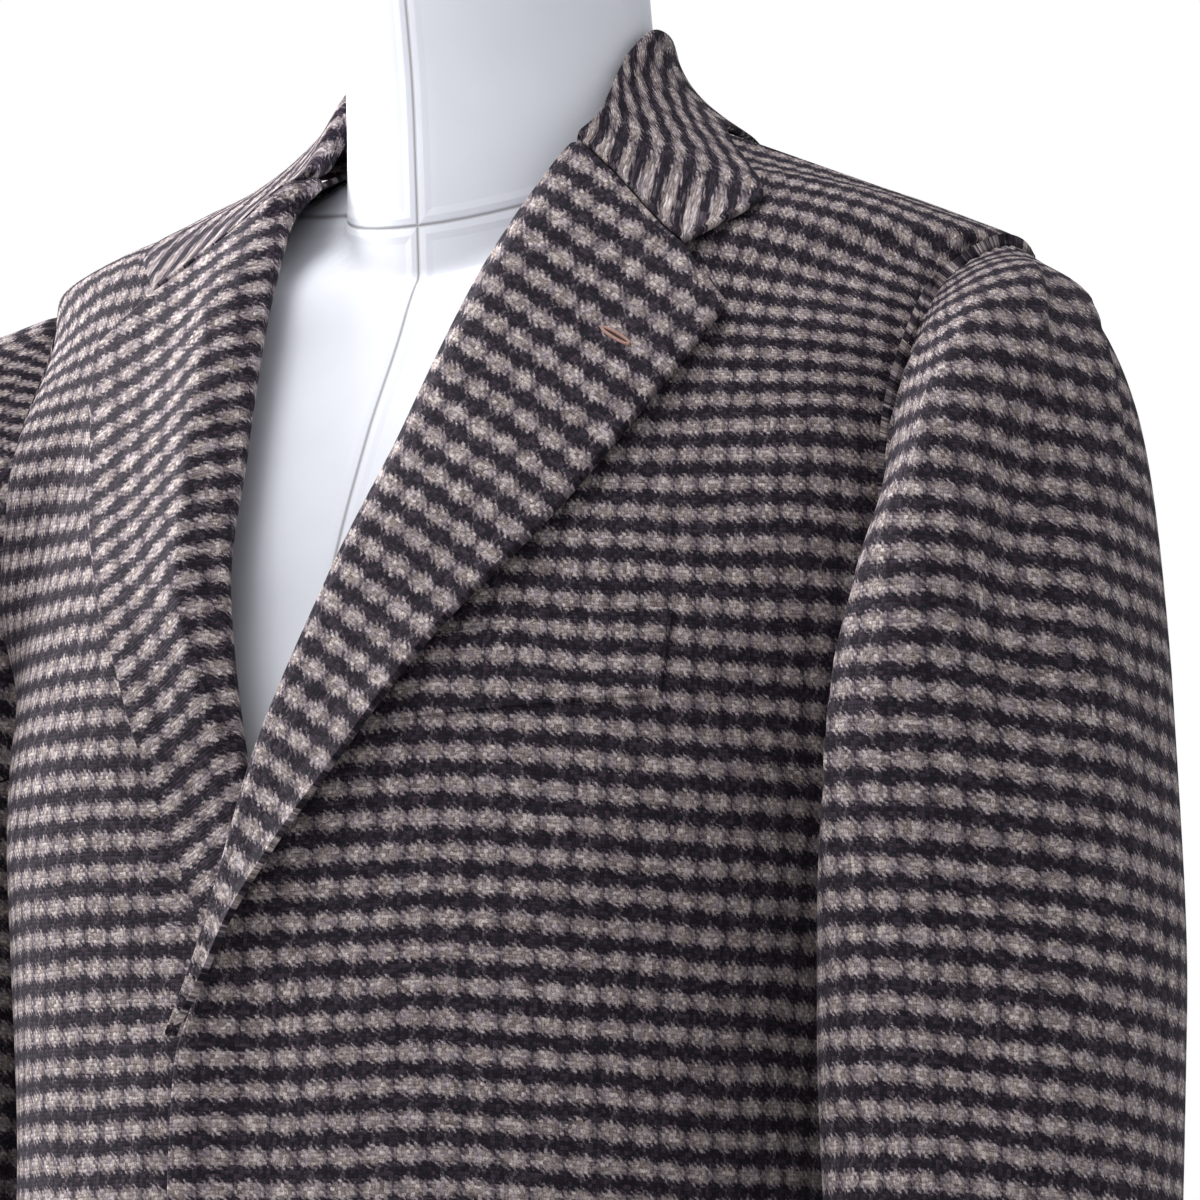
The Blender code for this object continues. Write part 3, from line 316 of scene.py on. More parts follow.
# ---- The weave ----
LAPEL_SHIFT = (0.4, 0.003)       # where in the weave each cut starts, in metres
COLLAR_SHIFT = (0.8, 0.0)
SLEEVE_SHIFT = {1: (0.1, 0.0), -1: (2.0, 0.0)}
REPEAT_ACROSS = 0.0140    # one star
REPEAT_ALONG = 0.0121     # one light row and one dark row
THREADS = 8               # in a repeat, each way
STAR_HALF_WIDTH = 0.465   # of a repeat
STAR_HALF_HEIGHT = 0.315
TEETH = 4                 # twill diagonals in a repeat
TOOTH = 0.22              # how far a star's teeth reach past its own outline, as a part of it
LINK_HALF_HEIGHT = 0.23   # of a repeat
STAR_SLANT = 0.08         # of its height
STAR_EDGE = 5.0           # how sharp a star's outline is
LINK_EDGE = 22.0
FRAY = 1.25               # how far fibres stray over a star's outline, and over a link's
LINK_FRAY = 0.16
TOOTH_STRAY = 7.0         # radians
WANDER = 0.0030           # how far the threads stray from straight lines: slowly, and from place to place
CROOK = 0.0010
LINK = 0.9                # how light a link is, where a star is 1
SPECK = 0.7               # how dark each of these is
SPECK_HALF_WIDTH = 0.032
BETWEEN = 0.60
DOT = 0.50
DOT_SIZE = 0.12
THROUGH = 0.62
TICK = 0.42               # how light
TICK_HALF_WIDTH = 0.035
LILAC = 0.40              # how strongly these tints show where they do
GREEN = 0.5
WARP_SHARE = 0.35         # of the relief is the warp's
HOLLOW_SHADE = 0.36
CANVAS_THREADS = 9000.0   # radians in a metre
CANVAS_SEAM = 0.0011
CANVAS_SWELL = 0.0030     # the cloth stands up beside a seam
CANVAS_SWELL_AT = 0.0035
SIDE_SEAM_Y = 0.004
SIDE_SEAM_TOP = 1.440
STREAK_ROUGH = 0.22       # how much the roughness changes along the streaks


# ---- Smooth tables, as for the solids ----
SLOPE_STEP = 0.0001
SETTLE_ROUNDS = 12
SETTLE_SHARE = 0.8        # of the way to the face in each round
CLEAR_ROUNDS = 4


def read(table, name, at):
    """The named column of a table at each place along its first column: smooth, and never past its rows."""
    at = np.asarray(at, float)
    keys = np.array([row[0] for row in table])
    values = np.array([getattr(row, name) for row in table])
    steps = np.diff(keys)
    slopes = np.diff(values) / steps
    product = slopes[:-1] * slopes[1:]
    total = np.where(product > 0, slopes[:-1] + slopes[1:], 1.0)
    inner = np.where(product > 0, 2 * product / total, 0.0)
    tangents = np.concatenate([slopes[:1], inner, slopes[-1:]])
    i = np.clip(np.searchsorted(keys, at) - 1, 0, len(steps) - 1)
    t = np.clip((at - keys[i]) / steps[i], 0, 1)
    rise = steps[i]
    return (values[i] * (2 * t**3 - 3 * t**2 + 1) + tangents[i] * rise * (t**3 - 2 * t**2 + t)
            + values[i + 1] * (3 * t**2 - 2 * t**3) + tangents[i + 1] * rise * (t**3 - t**2))


def ramp(start, end, at):
    """0 before start, 1 after end, and smooth between."""
    t = np.clip((np.asarray(at, float) - start) / (end - start), 0, 1)
    return t * t * (3 - 2 * t)


def unit(vectors):
    return vectors / np.maximum(np.linalg.norm(vectors, axis=-1, keepdims=True), 1e-12)


def level(sections, points):
    """How far points lie outside a body made of sections: 0 on its face, and under 0 inside it."""
    x, y, z = points[..., 0], points[..., 1], points[..., 2]
    off = y - read(sections, "side_y", z)
    depth = np.where(off < 0, read(sections, "front", z), read(sections, "back", z))
    square = read(sections, "square", z)
    across = np.abs(x) / read(sections, "half_width", z)
    return (across**square + (np.abs(off) / depth)**square)**(1 / square) - 1


def slope_of(sections, points):
    """The gradient of level at points."""
    return np.stack([(level(sections, points + axis) - level(sections, points - axis)) / (2 * SLOPE_STEP)
                     for axis in np.eye(3) * SLOPE_STEP], -1)


def settle(sections, points):
    """Points moved onto the sections' face, along its normal."""
    points = np.array(points, float)
    for _ in range(SETTLE_ROUNDS):
        slope = slope_of(sections, points)
        size = (slope**2).sum(-1, keepdims=True)
        points = points - SETTLE_SHARE * level(sections, points)[..., None] * slope / size
    return points


def outward(sections, points):
    return unit(slope_of(sections, points))


def kept_off(sections, points, clearance):
    """Points moved out, where they need it, to lie at least this far off the sections' face."""
    points = np.array(points, float)
    for _ in range(CLEAR_ROUNDS):
        slope = slope_of(sections, points)
        size = np.linalg.norm(slope, axis=-1, keepdims=True)
        short = np.maximum(clearance - level(sections, points)[..., None] / size, 0)
        points = points + short * slope / size
    return points


def front_point(sections, x, z):
    """A point on the front of the sections' face, at x from the centre and height z."""
    x, z = np.broadcast_arrays(np.asarray(x, float), np.asarray(z, float))
    across = np.clip(np.abs(x) / read(sections, "half_width", z), 0, 1)
    square = read(sections, "square", z)
    reach = (1 - across**square)**(1 / square)
    y = read(sections, "side_y", z) - read(sections, "front", z) * reach
    return settle(sections, np.stack([x, y, z], -1))


def ring_point(sections, turn, z):
    """A point of a level section: turn is 0 at the front's centre, 1 at the side, 2 at the back's centre."""
    turn, z = np.broadcast_arrays(np.asarray(turn, float), np.asarray(z, float))
    angle = turn * np.pi / 2
    power = 2 / read(sections, "square", z)
    x = np.sign(np.sin(angle)) * np.abs(np.sin(angle))**power * read(sections, "half_width", z)
    forward = np.cos(angle) > 0
    depth = np.where(forward, -read(sections, "front", z), read(sections, "back", z))
    y = read(sections, "side_y", z) + depth * np.abs(np.cos(angle))**power
    return np.stack([x, y, z], -1)


# ---- Grids ----
def coons(bottom, top, left, right, across, up):
    """A grid between four curves: bottom and top run left to right, and left and right run up."""
    s = np.asarray(across)[None, :, None]
    t = np.asarray(up)[:, None, None]
    sides = (1 - s) * left[:, None] + s * right[:, None]
    ends = (1 - t) * bottom[None] + t * top[None]
    both = (1 - s) * (1 - t) * bottom[0] + s * (1 - t) * bottom[-1] + (1 - s) * t * top[0] + s * t * top[-1]
    return sides + ends - both


def grid_normals(grid):
    """The unit normals of a grid of points, on the side where across x up points."""
    return unit(np.cross(np.gradient(grid, axis=1), np.gradient(grid, axis=0)))


def mirrored(grid):
    """The same grid for the wearer's other side."""
    return grid[:, ::-1] * np.array([-1.0, 1.0, 1.0])


def eased(count, ends=0.35):
    """Places from 0 to 1, closer together at both ends."""
    t = np.linspace(0, 1, count)
    return (1 - ends) * t + ends * (1 - np.cos(np.pi * t)) / 2


def flat_map(grid, warp_way, start_row=0, start_column=None):
    """The cloth's flat coordinates in metres: u along the weft and v along the warp.

    warp_way is the direction the warp runs in, and is laid onto the surface at each point. The lengths are
    added up along one row or column first, and from there to every other point.
    """
    normals = grid_normals(grid)
    warp = np.broadcast_to(warp_way, grid.shape)
    warp = unit(warp - (warp * normals).sum(-1, keepdims=True) * normals)
    weft = np.cross(warp, normals)
    out = np.zeros(grid.shape[:2] + (2,))

    def steps(a, b):
        move = grid[b] - grid[a]
        return np.stack([(move * (way[a] + way[b]) / 2).sum(-1) for way in (weft, warp)], -1)

    rows, columns = grid.shape[:2]
    if start_column is None:
        out[start_row, 1:] = np.cumsum(steps((start_row, slice(0, -1)), (start_row, slice(1, None))), 0)
        for row in range(start_row + 1, rows):
            out[row] = out[row - 1] + steps((row - 1, slice(None)), (row, slice(None)))
        for row in range(start_row - 1, -1, -1):
            out[row] = out[row + 1] + steps((row + 1, slice(None)), (row, slice(None)))
        return out
    column = start_column % columns
    out[1:, column] = np.cumsum(steps((slice(0, -1), column), (slice(1, None), column)), 0)
    for here in range(column + 1, columns):
        out[:, here] = out[:, here - 1] + steps((slice(None), here - 1), (slice(None), here))
    for here in range(column - 1, -1, -1):
        out[:, here] = out[:, here + 1] + steps((slice(None), here + 1), (slice(None), here))
    return out


def corners(grid):
    """The four corners of each of a grid's cells, going round."""
    return grid[:-1, :-1], grid[:-1, 1:], grid[1:, 1:], grid[1:, :-1]


def cloth_area(grid):
    """The area of a grid's surface, in square metres."""
    a, b, c, d = corners(grid)
    halves = np.cross(b - a, c - a), np.cross(c - a, d - a)
    return sum(float(np.linalg.norm(half, axis=-1).sum()) / 2 for half in halves)


def fold_curve(start, middle, end):
    """A smooth curve through a fold's three places in space."""
    t = np.linspace(0, 1, FOLD_STEPS)[:, None]
    bend = 2 * middle - (start + end) / 2
    return (1 - t)**2 * start + 2 * t * (1 - t) * bend + t**2 * end


def fold_lift(grid, normals, curve, fold):
    """How far a fold along a curve lifts each point of a grid, fading out at both its ends."""
    flat, facing = grid.reshape(-1, 3), normals.reshape(-1, 3)
    margin = FOLD_MARGIN * fold.width
    near = ((flat > curve.min(0) - margin) & (flat < curve.max(0) + margin)).all(1)
    near = np.nonzero(near)[0]
    lift = np.zeros(len(flat))
    if len(near) == 0:
        return lift.reshape(grid.shape[:2])
    off = flat[near, None] - curve[None]
    off = off - (off * facing[near, None]).sum(-1, keepdims=True) * facing[near, None]
    best = np.linalg.norm(off, axis=-1).argmin(1)
    tangent = unit(np.gradient(curve, axis=0))[best]
    aside = (np.cross(facing[near], tangent) * off[np.arange(len(near)), best]).sum(-1)
    along = best / (FOLD_STEPS - 1)
    fade = ramp(0, FOLD_FADE[0], along) * (1 - ramp(FOLD_FADE[1], 1.0, along))
    soft = np.exp(-(aside / fold.width)**2)
    sharp = np.exp(-(aside / (fold.width * fold.steep))**2)
    shape = np.where(aside < 0, fold.lift * soft, fold.lift * sharp - fold.drop * (1 - sharp) * soft)
    lift[near] = shape * fade
    return lift.reshape(grid.shape[:2])


# ---- Shells ----
def right_rise(points):
    """The right shoulder sits a little higher than the left, whose tip has settled."""
    points = points.copy()
    x, z = points[..., 0].copy(), points[..., 2].copy()
    points[..., 2] += RIGHT_RISE * ramp(*RISE_ACROSS, -x) * ramp(*RISE_HEIGHTS, z)
    points[..., 2] -= TIP_DROP * ramp(*TIP_DROP_ACROSS, x) * ramp(*TIP_DROP_HEIGHTS, z)
    return points


def mesh_object(name, points, faces, uv, material):
    mesh = bpy.data.meshes.new(name)
    mesh.from_pydata(points.tolist(), [], faces)
    mesh.shade_smooth()
    if uv is not None:
        layer = mesh.uv_layers.new(name="cloth")
        corner = np.empty(len(mesh.loops), np.int32)
        mesh.loops.foreach_get("vertex_index", corner)
        layer.data.foreach_set("uv", uv[corner].astype(np.float32).ravel())
    mesh.materials.append(material)
    item = bpy.data.objects.new(name, mesh)
    bpy.context.scene.collection.objects.link(item)
    return item


def shell(name, outer, inner, uv, material):
    """A closed shell between two grids, with rounded rims inside the grids' own outline."""
    rows, columns = outer.shape[:2]
    index = np.arange(rows * columns).reshape(rows, columns)
    border = np.concatenate([index[0], index[1:, -1], index[-1, -2::-1], index[-2:0:-1, 0]])
    inside = np.concatenate([index[1], index[1:, -2], index[-2, -2::-1], index[-2:0:-1, 1]])
    inside[0] = index[1, 1]
    inside[columns - 1] = index[1, -2]
    inside[columns + rows - 2] = index[-2, -2]
    inside[2 * columns + rows - 3] = index[-2, 1]
    outer, inner, uv = outer.reshape(-1, 3).copy(), inner.reshape(-1, 3).copy(), uv.reshape(-1, 2)
    step = outer[border] - outer[inside]
    length = np.linalg.norm(step, axis=1, keepdims=True)
    way = step / length
    thick = outer[border] - inner[border]
    half = thick / 2
    radius = np.minimum(np.linalg.norm(half, axis=1, keepdims=True), RIM_SHARE * length)
    middle = (outer[border] + inner[border]) / 2
    uv_way = (uv[border] - uv[inside]) / length
    rings, ring_uv = [], []
    for k in range(1, RIM_STEPS + 1):
        angle = np.pi * k / (RIM_STEPS + 1)
        rings.append(middle + half * np.cos(angle) + way * radius * (np.sin(angle) - 1))
        ring_uv.append(uv[border] + uv_way * radius * (angle - 1))
    outer[border] -= way * radius
    inner[border] -= way * radius
    points = np.concatenate([outer, inner] + rings)
    all_uv = np.concatenate([uv, uv] + ring_uv)
    a, b, c, d = (part.ravel() for part in corners(index))
    count = rows * columns
    top = np.stack([a, b, c, d], 1)
    faces = [top, count + top[:, ::-1]]
    loops = [border] + [2 * count + k * len(border) + np.arange(len(border)) for k in range(RIM_STEPS)]
    loops.append(count + border)
    for near, far in zip(loops[:-1], loops[1:]):
        faces.append(np.stack([near, far, np.roll(far, -1), np.roll(near, -1)], 1))
    faces = np.concatenate(faces)
    face = np.cross(outer[b[0]] - outer[a[0]], outer[d[0]] - outer[a[0]])
    if face @ (outer[a[0]] - inner[a[0]]) < 0:
        faces = faces[:, ::-1]
    return mesh_object(name, right_rise(points), faces.tolist(), all_uv, material)


Cloth = namedtuple("Cloth", "held rests_on")


def add_cloth(name, outer, inner, uv, shift=(0.0, 0.0)):
    """A shell that stands for the CAD node of the same name, which it hides."""
    piece = shell(name + "_shell", outer, inner, uv + np.array(shift), WOOL)
    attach(piece, "root")
    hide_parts(name)
    size = uv.reshape(-1, 2).max(0) - uv.reshape(-1, 2).min(0)
    area = min(cloth_area((outer + inner) / 2), float(size[0] * size[1]))


# ---- Materials ----
class Value:
    """A number in a material's nodes, with Python's own arithmetic."""

    def __init__(self, graph, socket):
        self.graph = graph
        self.socket = socket

    def __add__(self, other):
        return self.graph.math("ADD", self, other)

    def __sub__(self, other):
        return self.graph.math("SUBTRACT", self, other)

    def __rsub__(self, other):
        return self.graph.math("SUBTRACT", other, self)

    def __mul__(self, other):
        return self.graph.math("MULTIPLY", self, other)

    def __truediv__(self, other):
        return self.graph.math("DIVIDE", self, other)

    def __pow__(self, other):
        return self.graph.math("POWER", self, other)

    def __abs__(self):
        return self.graph.math("ABSOLUTE", self)

    def __lt__(self, other):
        return self.graph.math("LESS_THAN", self, other)

    def __gt__(self, other):
        return self.graph.math("GREATER_THAN", self, other)

    def clamped(self):
        """The same number, kept from 0 to 1."""
        self.socket.node.use_clamp = True
        return self


class Graph:
    """A material's nodes, written as calls."""

    def __init__(self, name):
        self.material = bpy.data.materials.new(name)
        self.material.use_nodes = True
        self.tree = self.material.node_tree
        self.shader = self.tree.nodes["Principled BSDF"]

    def node(self, kind, inputs=(), **settings):
        made = self.tree.nodes.new("ShaderNode" + kind)
        for name, value in settings.items():
            setattr(made, name, value)
        for name, value in dict(inputs).items():
            self.put(made.inputs[name], value)
        return made

    def put(self, socket, value):
        value = value.socket if isinstance(value, Value) else value
        if isinstance(value, bpy.types.NodeSocket):
            self.tree.links.new(value, socket)
        else:
            socket.default_value = value

    def math(self, operation, *values):
        made = self.node("Math", operation=operation)
        for socket, value in zip(made.inputs, values):
            self.put(socket, value)
        return Value(self, made.outputs[0])

    def larger(self, first, second):
        return self.math("MAXIMUM", first, second)

    def smaller(self, first, second):
        return self.math("MINIMUM", first, second)

    def mix(self, amount, first, second, blend="MIX"):
        made = self.node("Mix", data_type="RGBA", blend_type=blend)
        for place, value in ((0, amount), (6, first), (7, second)):
            self.put(made.inputs[place], value)
        return made.outputs[2]

    def noise(self, vector, scale, detail=2.0, roughness=0.5, output="Fac"):
        made = self.node("TexNoise", {"Scale": scale, "Detail": detail, "Roughness": roughness,
                                      "Vector": vector})
        return Value(self, made.outputs[output])

    def split(self, kind, name, value):
        return [Value(self, socket) for socket in self.node(kind, {name: value}).outputs]

    def ramp(self, value, stops):
        made = self.node("ValToRGB")
        elements = made.color_ramp.elements
        while len(elements) < len(stops):
            elements.new(0.5)
        for element, (place, colour) in zip(elements, stops):
            element.position = place
            element.color = colour
        self.put(made.inputs[0], value)
        return made.outputs[0]

    def bump(self, strength, distance, height):
        made = self.node("Bump", {"Strength": strength, "Distance": distance, "Height": height})
        self.put(self.shader.inputs["Normal"], made.outputs[0])

    def finish(self, **uniform):
        """Numbers and colours that are the same all over, on the shader's own sockets."""
        for name, value in uniform.items():
            self.shader.inputs[name.replace("_", " ")].default_value = value
        return self.material


BLACK = (0, 0, 0, 1)
WHITE = (1, 1, 1, 1)


def srgb(red, green, blue):
    """A linear colour from the 0 to 255 values seen in a picture."""
    parts = np.array([red, green, blue]) / 255
    linear = np.where(parts <= 0.04045, parts / 12.92, ((parts + 0.055) / 1.055)**2.4)
    return (*[float(part) for part in linear], 1.0)


def wool():
    """Heavy woollen houndstooth: four light and four dark threads each way in a broken twill, mostly weft."""
    g = Graph("houndstooth_wool")
    place = g.node("UVMap", uv_map="cloth").outputs[0]
    slow = g.split("SeparateColor", "Color", g.noise(place, 26.0, 1.0, output="Color"))
    fast = g.split("SeparateColor", "Color", g.noise(place, 620.0, 2.0, 0.6, output="Color"))
    straight = g.split("SeparateXYZ", "Vector", place)
    a, b = ((straight[axis] + slow[axis] * WANDER + fast[axis] * CROOK) * (THREADS / repeat)
            for axis, repeat in enumerate((REPEAT_ACROSS, REPEAT_ALONG)))
    # Where a point lies from the middle of its star, in repeats: -0.5 to 0.5 each way.
    star_y = g.math("FRACT", b / THREADS) - 0.5
    star_x = g.math("FRACT", a / THREADS) - 0.5 + star_y * STAR_SLANT
    far = g.math("SQRT", (abs(star_x) / STAR_HALF_WIDTH)**2 + (abs(star_y) / STAR_HALF_HEIGHT)**2)
    fray = g.noise(place, 1100.0, 2.0, 0.6) - 0.5
    # The twill's diagonals give a star its teeth.
    slant = (star_x + star_y) * (2 * np.pi * TEETH) + (g.noise(place, 330.0, 1.0) - 0.5) * TOOTH_STRAY
    tooth = g.math("COSINE", slant)
    star = ((tooth * TOOTH + fray * FRAY + 1.0 - far) * STAR_EDGE + 0.5).clamped()
    # The link to the next star is a low bar in a greyer tone, with a dark speck where the two stars meet.
    bar = ((fray * LINK_FRAY + LINK_HALF_HEIGHT - abs(star_y)) * LINK_EDGE).clamped()
    speck = (0.5 - abs(star_x) < fray * LINK_FRAY + SPECK_HALF_WIDTH) * SPECK
    light = g.larger(star, bar * (1.0 - speck) * LINK)
    # Between its teeth a star is darker, and a dark dot often sits in its middle.
    between = (tooth * -0.5 + 0.5) * (far * 1.5 - 0.35).clamped()
    cell = g.node("CombineXYZ", {"X": g.math("FLOOR", a), "Y": g.math("FLOOR", b)}).outputs[0]
    tone = Value(g, g.node("TexWhiteNoise", {"Vector": cell}, noise_dimensions="2D").outputs["Value"])
    dot = (far < fray * 0.8 + DOT_SIZE) * (tone > 0.4)
    # Dark fibres show through everywhere in a light row.
    through = (g.noise(place, 900.0, 1.0, 0.7) * 7.0 - 3.7).clamped()
    hollow = g.larger(g.larger(between * BETWEEN, dot * DOT), through * THROUGH)
    light = light * (1.0 - hollow)
    # A faint light tick crosses each dark row.
    tick = (abs(star_x - fray * 0.12) < TICK_HALF_WIDTH) * (tone > 0.35)
    # Tones: each stretch of a thread has its own, and the mixed fibres in it have theirs.
    fibre = g.noise(place, 1500.0, 2.0, 0.7)
    mixed = tone * 0.30 + fibre * 0.70
    star_colour = g.ramp(mixed, ((0.26, srgb(92, 81, 79)), (0.40, srgb(140, 127, 123)),
                                 (0.54, srgb(180, 166, 160)), (0.70, srgb(238, 227, 222))))
    link_colour = g.ramp(mixed, ((0.26, srgb(76, 67, 75)), (0.50, srgb(126, 114, 121)),
                                 (0.72, srgb(192, 179, 186))))
    lilac = Value(g, g.ramp(g.noise(place, 210.0, 2.0), ((0.44, BLACK), (0.66, WHITE))))
    star_colour = g.mix(lilac * LILAC, star_colour, srgb(166, 156, 174))
    light_colour = g.mix((far * -1.6 + 1.9).clamped(), link_colour, star_colour)
    dark_colour = g.ramp(mixed, ((0.25, srgb(24, 20, 28)), (0.50, srgb(44, 38, 46)),
                                 (0.72, srgb(80, 68, 80))))
    green = Value(g, g.ramp(g.noise(place, 420.0, 1.0), ((0.56, BLACK), (0.70, WHITE))))
    dark_colour = g.mix(green * GREEN, dark_colour, srgb(32, 46, 50))
    dark_colour = g.mix(tick * TICK, dark_colour, srgb(122, 116, 120))
    colour = g.mix(light, dark_colour, light_colour)
    # Threads stand up in their middle, and painted shade darkens the hollows between them.
    warp_round, weft_round = (1.0 - (abs(g.math("FRACT", at) - 0.5) * 2.0)**2 for at in (a, b))
    rounded = warp_round * WARP_SHARE + weft_round * (1 - WARP_SHARE)
    shade = rounded * HOLLOW_SHADE + (1 - HOLLOW_SHADE)
    hollow_shade_grey = g.node("CombineColor", {"Red": shade, "Green": shade, "Blue": shade}).outputs[0]
    g.put(g.shader.inputs["Base Color"], g.mix(1.0, colour, hollow_shade_grey, "MULTIPLY"))
    g.bump(0.60, 0.0007, fibre * 0.7 + rounded * 0.5)
    return g.finish(Roughness=0.94, Specular_IOR_Level=0.08, Sheen_Weight=0.03, Sheen_Roughness=0.45,
                    Sheen_Tint=(0.92, 0.90, 0.95, 1))


def canvas():
    """Off-white cotton canvas, plain woven."""
    g = Graph("form_canvas")
    place = g.node("UVMap", uv_map="cloth").outputs[0]
    slub = g.noise(place, 180.0, 3.0) * 0.0008
    warp, weft = (g.math("SINE", (slub + at) * CANVAS_THREADS)
                  for at in g.split("SeparateXYZ", "Vector", place)[:2])
    weave = warp * weft * 0.25 + 0.5
    mixed = weave * 0.35 + g.noise(place, 14.0, 3.0) * 0.65
    colour = g.ramp(mixed, ((0.25, srgb(228, 230, 240)), (0.55, srgb(240, 242, 250)),
                            (0.80, srgb(247, 249, 254))))
    # Seams: down the front's and the back's centre, down both sides, and round the base of the neck.
    x, y, z = g.split("SeparateXYZ", "Vector", g.node("TexCoord").outputs["Object"])
    base = abs(z - (y * NECK_SEAM_SLOPE + NECK_SEAM_HEIGHT))
    side = abs(y - SIDE_SEAM_Y) + (1.0 - (z < SIDE_SEAM_TOP))
    nearest = g.smaller(g.smaller(abs(x), base), side)
    line = (1.0 - nearest / CANVAS_SEAM).clamped()
    swell = (1.0 - abs(nearest - CANVAS_SWELL_AT) / CANVAS_SWELL).clamped()
    g.put(g.shader.inputs["Base Color"], g.mix(line * 0.75, colour, srgb(128, 124, 124)))
    g.bump(0.55, 0.0010, weave * 0.12 + (swell * 0.6 - line))
    return g.finish(Roughness=0.88, Sheen_Weight=0.10)


def streaked(name, stops, scale, stretch, roughness, metallic=0.0, bump=0.1, coat=0.0):
    """A smooth hard surface with streaks along one way."""
    g = Graph(name)
    place = g.node("TexCoord").outputs["Object"]
    grain = g.noise(g.node("Mapping", {"Vector": place, "Scale": stretch}).outputs[0], scale, 4.0, 0.6)
    g.put(g.shader.inputs["Base Color"], g.ramp(grain, stops))
    g.put(g.shader.inputs["Roughness"], grain * STREAK_ROUGH + (roughness - STREAK_ROUGH / 2))
    g.bump(bump, 0.0003, grain)
    return g.finish(Metallic=metallic, Coat_Weight=coat)


EVEN = (1.0, 1.0, 1.0)
WOOL = wool()
CANVAS = canvas()
HORN = streaked("horn", ((0.3, srgb(38, 24, 18)), (0.55, srgb(66, 44, 32)), (0.75, srgb(112, 82, 58))),
                60.0, (1.0, 1.0, 5.0), 0.34, coat=0.4)
STEEL = streaked("brushed_steel", ((0.3, srgb(150, 150, 152)), (0.7, srgb(196, 196, 198))),
                 300.0, (1.0, 1.0, 0.02), 0.30, metallic=1.0)
IRON = streaked("black_paint", ((0.3, srgb(20, 20, 22)), (0.6, srgb(30, 30, 32)), (0.8, srgb(44, 43, 44))),
                140.0, EVEN, 0.45, bump=0.25, coat=0.15)
THREAD = streaked("thread", ((0.3, srgb(134, 100, 90)), (0.7, srgb(196, 156, 145))), 2500.0, EVEN, 0.9)
# A dark material for the shade inside buttonholes and the buttons' thread holes: painted shade.
PAINTED_HOLE_SHADE = streaked("painted_hole_shade", ((0.3, srgb(34, 22, 20)), (0.7, srgb(84, 58, 48))), 1800.0, EVEN, 0.95)


# ---- Seams ----
def armhole(side, steps):
    """The armhole from the underarm to the shoulder tip, by the front (side -1) or by the back (side 1)."""
    turn = np.linspace(0, np.pi, steps + 1)
    middle = (SHOULDER_TIP + ARMHOLE_BOTTOM) / 2
    half = (SHOULDER_TIP - ARMHOLE_BOTTOM) / 2
    z = middle - half * np.cos(turn)
    ring = SLEEVE[0]
    reach = (ring.fore if side < 0 else ring.aft) * np.sin(turn)**ARMHOLE_ROUND
    off = side * reach
    depth = read(COAT, "front" if side < 0 else "back", z)
    square = read(COAT, "square", z)
    x = read(COAT, "half_width", z) * (1 - (reach / depth)**square)**(1 / square)
    return np.stack([x, read(COAT, "side_y", z) + off, z], -1)


def shoulder_seam(fractions):
    """Points of the left shoulder seam, from the neck point to the shoulder tip."""
    z = NECK_POINT + (SHOULDER_TIP - NECK_POINT) * np.asarray(fractions)
    return np.stack([read(COAT, "half_width", z), read(COAT, "side_y", z), z], -1)


def seam_shift(points, direction):
    """Points moved off a seam by half its gap, then back onto the coat's face."""
    return settle(COAT, points + np.asarray(direction) * SEAM_GAP / 2)


def roll_at(height, side=1):
    """How far the roll line lies from the centre. On the right side the lapel rolls a little farther out."""
    place = read(ROLL_LINE, "from_centre", height)
    if side < 0:
        place = place + ROLL_SHIFT * ramp(*ROLL_SHIFT_LOW, height) * (1 - ramp(*ROLL_SHIFT_HIGH, height))
    return place


def seam_distance(points, seam):
    """How far each point lies from a seam's points, on either side of the body."""
    both = points.copy()
    both[..., 0] = np.abs(both[..., 0])
    return np.sqrt(((both[..., None, :] - seam)**2).sum(-1)).min(-1)


def seam_fill(points, distance, side):
    """How far the cloth fills out forwards beside the front armhole seam."""
    z = points[..., 2]
    fill = SEAM_FILL[side]
    band = ramp(fill.low_start, fill.low_end, z) * (1 - ramp(fill.high_start, fill.high_end, z))
    return fill.forward * band * (1 - ramp(0, fill.reach, distance))


def fill_way(normals, side):
    """The direction of the fill: off the face on the left side, and straight forwards on the right."""
    return normals if side > 0 else np.array([0.0, -1.0, 0.0]) + 0 * normals


# ---- Level rows of the weave ----
MERIDIAN_AT = 0.110       # the rows' spacing is true along the line this far from the centre
LEAN = 0.95               # over the shoulder, the rows lie across it
LEAN_HEIGHTS = (1.370, 1.450)
SAG = 0.09                # on the wearer's left, the rows fall this steeply towards the side
SAG_ACROSS = (0.050, 0.120)
MERIDIAN_MOST = 0.8       # of the half width, where that is narrower
MERIDIAN_HEIGHTS = np.linspace(HEM_HEIGHT, NECK_POINT - 0.001, 900)


def meridian(side):
    """The line up the front (side -1) or back (side 1) at MERIDIAN_AT: its y and length, at each height."""
    half = read(COAT, "half_width", MERIDIAN_HEIGHTS)
    square = read(COAT, "square", MERIDIAN_HEIGHTS)
    across = np.minimum(MERIDIAN_AT, MERIDIAN_MOST * half) / half
    depth = read(COAT, "front" if side < 0 else "back", MERIDIAN_HEIGHTS)
    y = read(COAT, "side_y", MERIDIAN_HEIGHTS) + side * depth * (1 - across**square)**(1 / square)
    length = np.concatenate([[0], np.cumsum(np.hypot(np.diff(y), np.diff(MERIDIAN_HEIGHTS)))])
    return y, length


def row_height(points, side):
    """How far up the cloth each point lies, so that the weave's rows are level and lean over the shoulder."""
    y, length = meridian(side)
    z = points[..., 2]
    lean = LEAN * ramp(*LEAN_HEIGHTS, z)
    behind = points[..., 1] - np.interp(z, MERIDIAN_HEIGHTS, y)
    outside = points[..., 0] - sum(SAG_ACROSS) / 2
    sag = SAG * outside * ramp(*SAG_ACROSS, points[..., 0])
    return np.interp(z, MERIDIAN_HEIGHTS, length) - side * lean * behind + sag


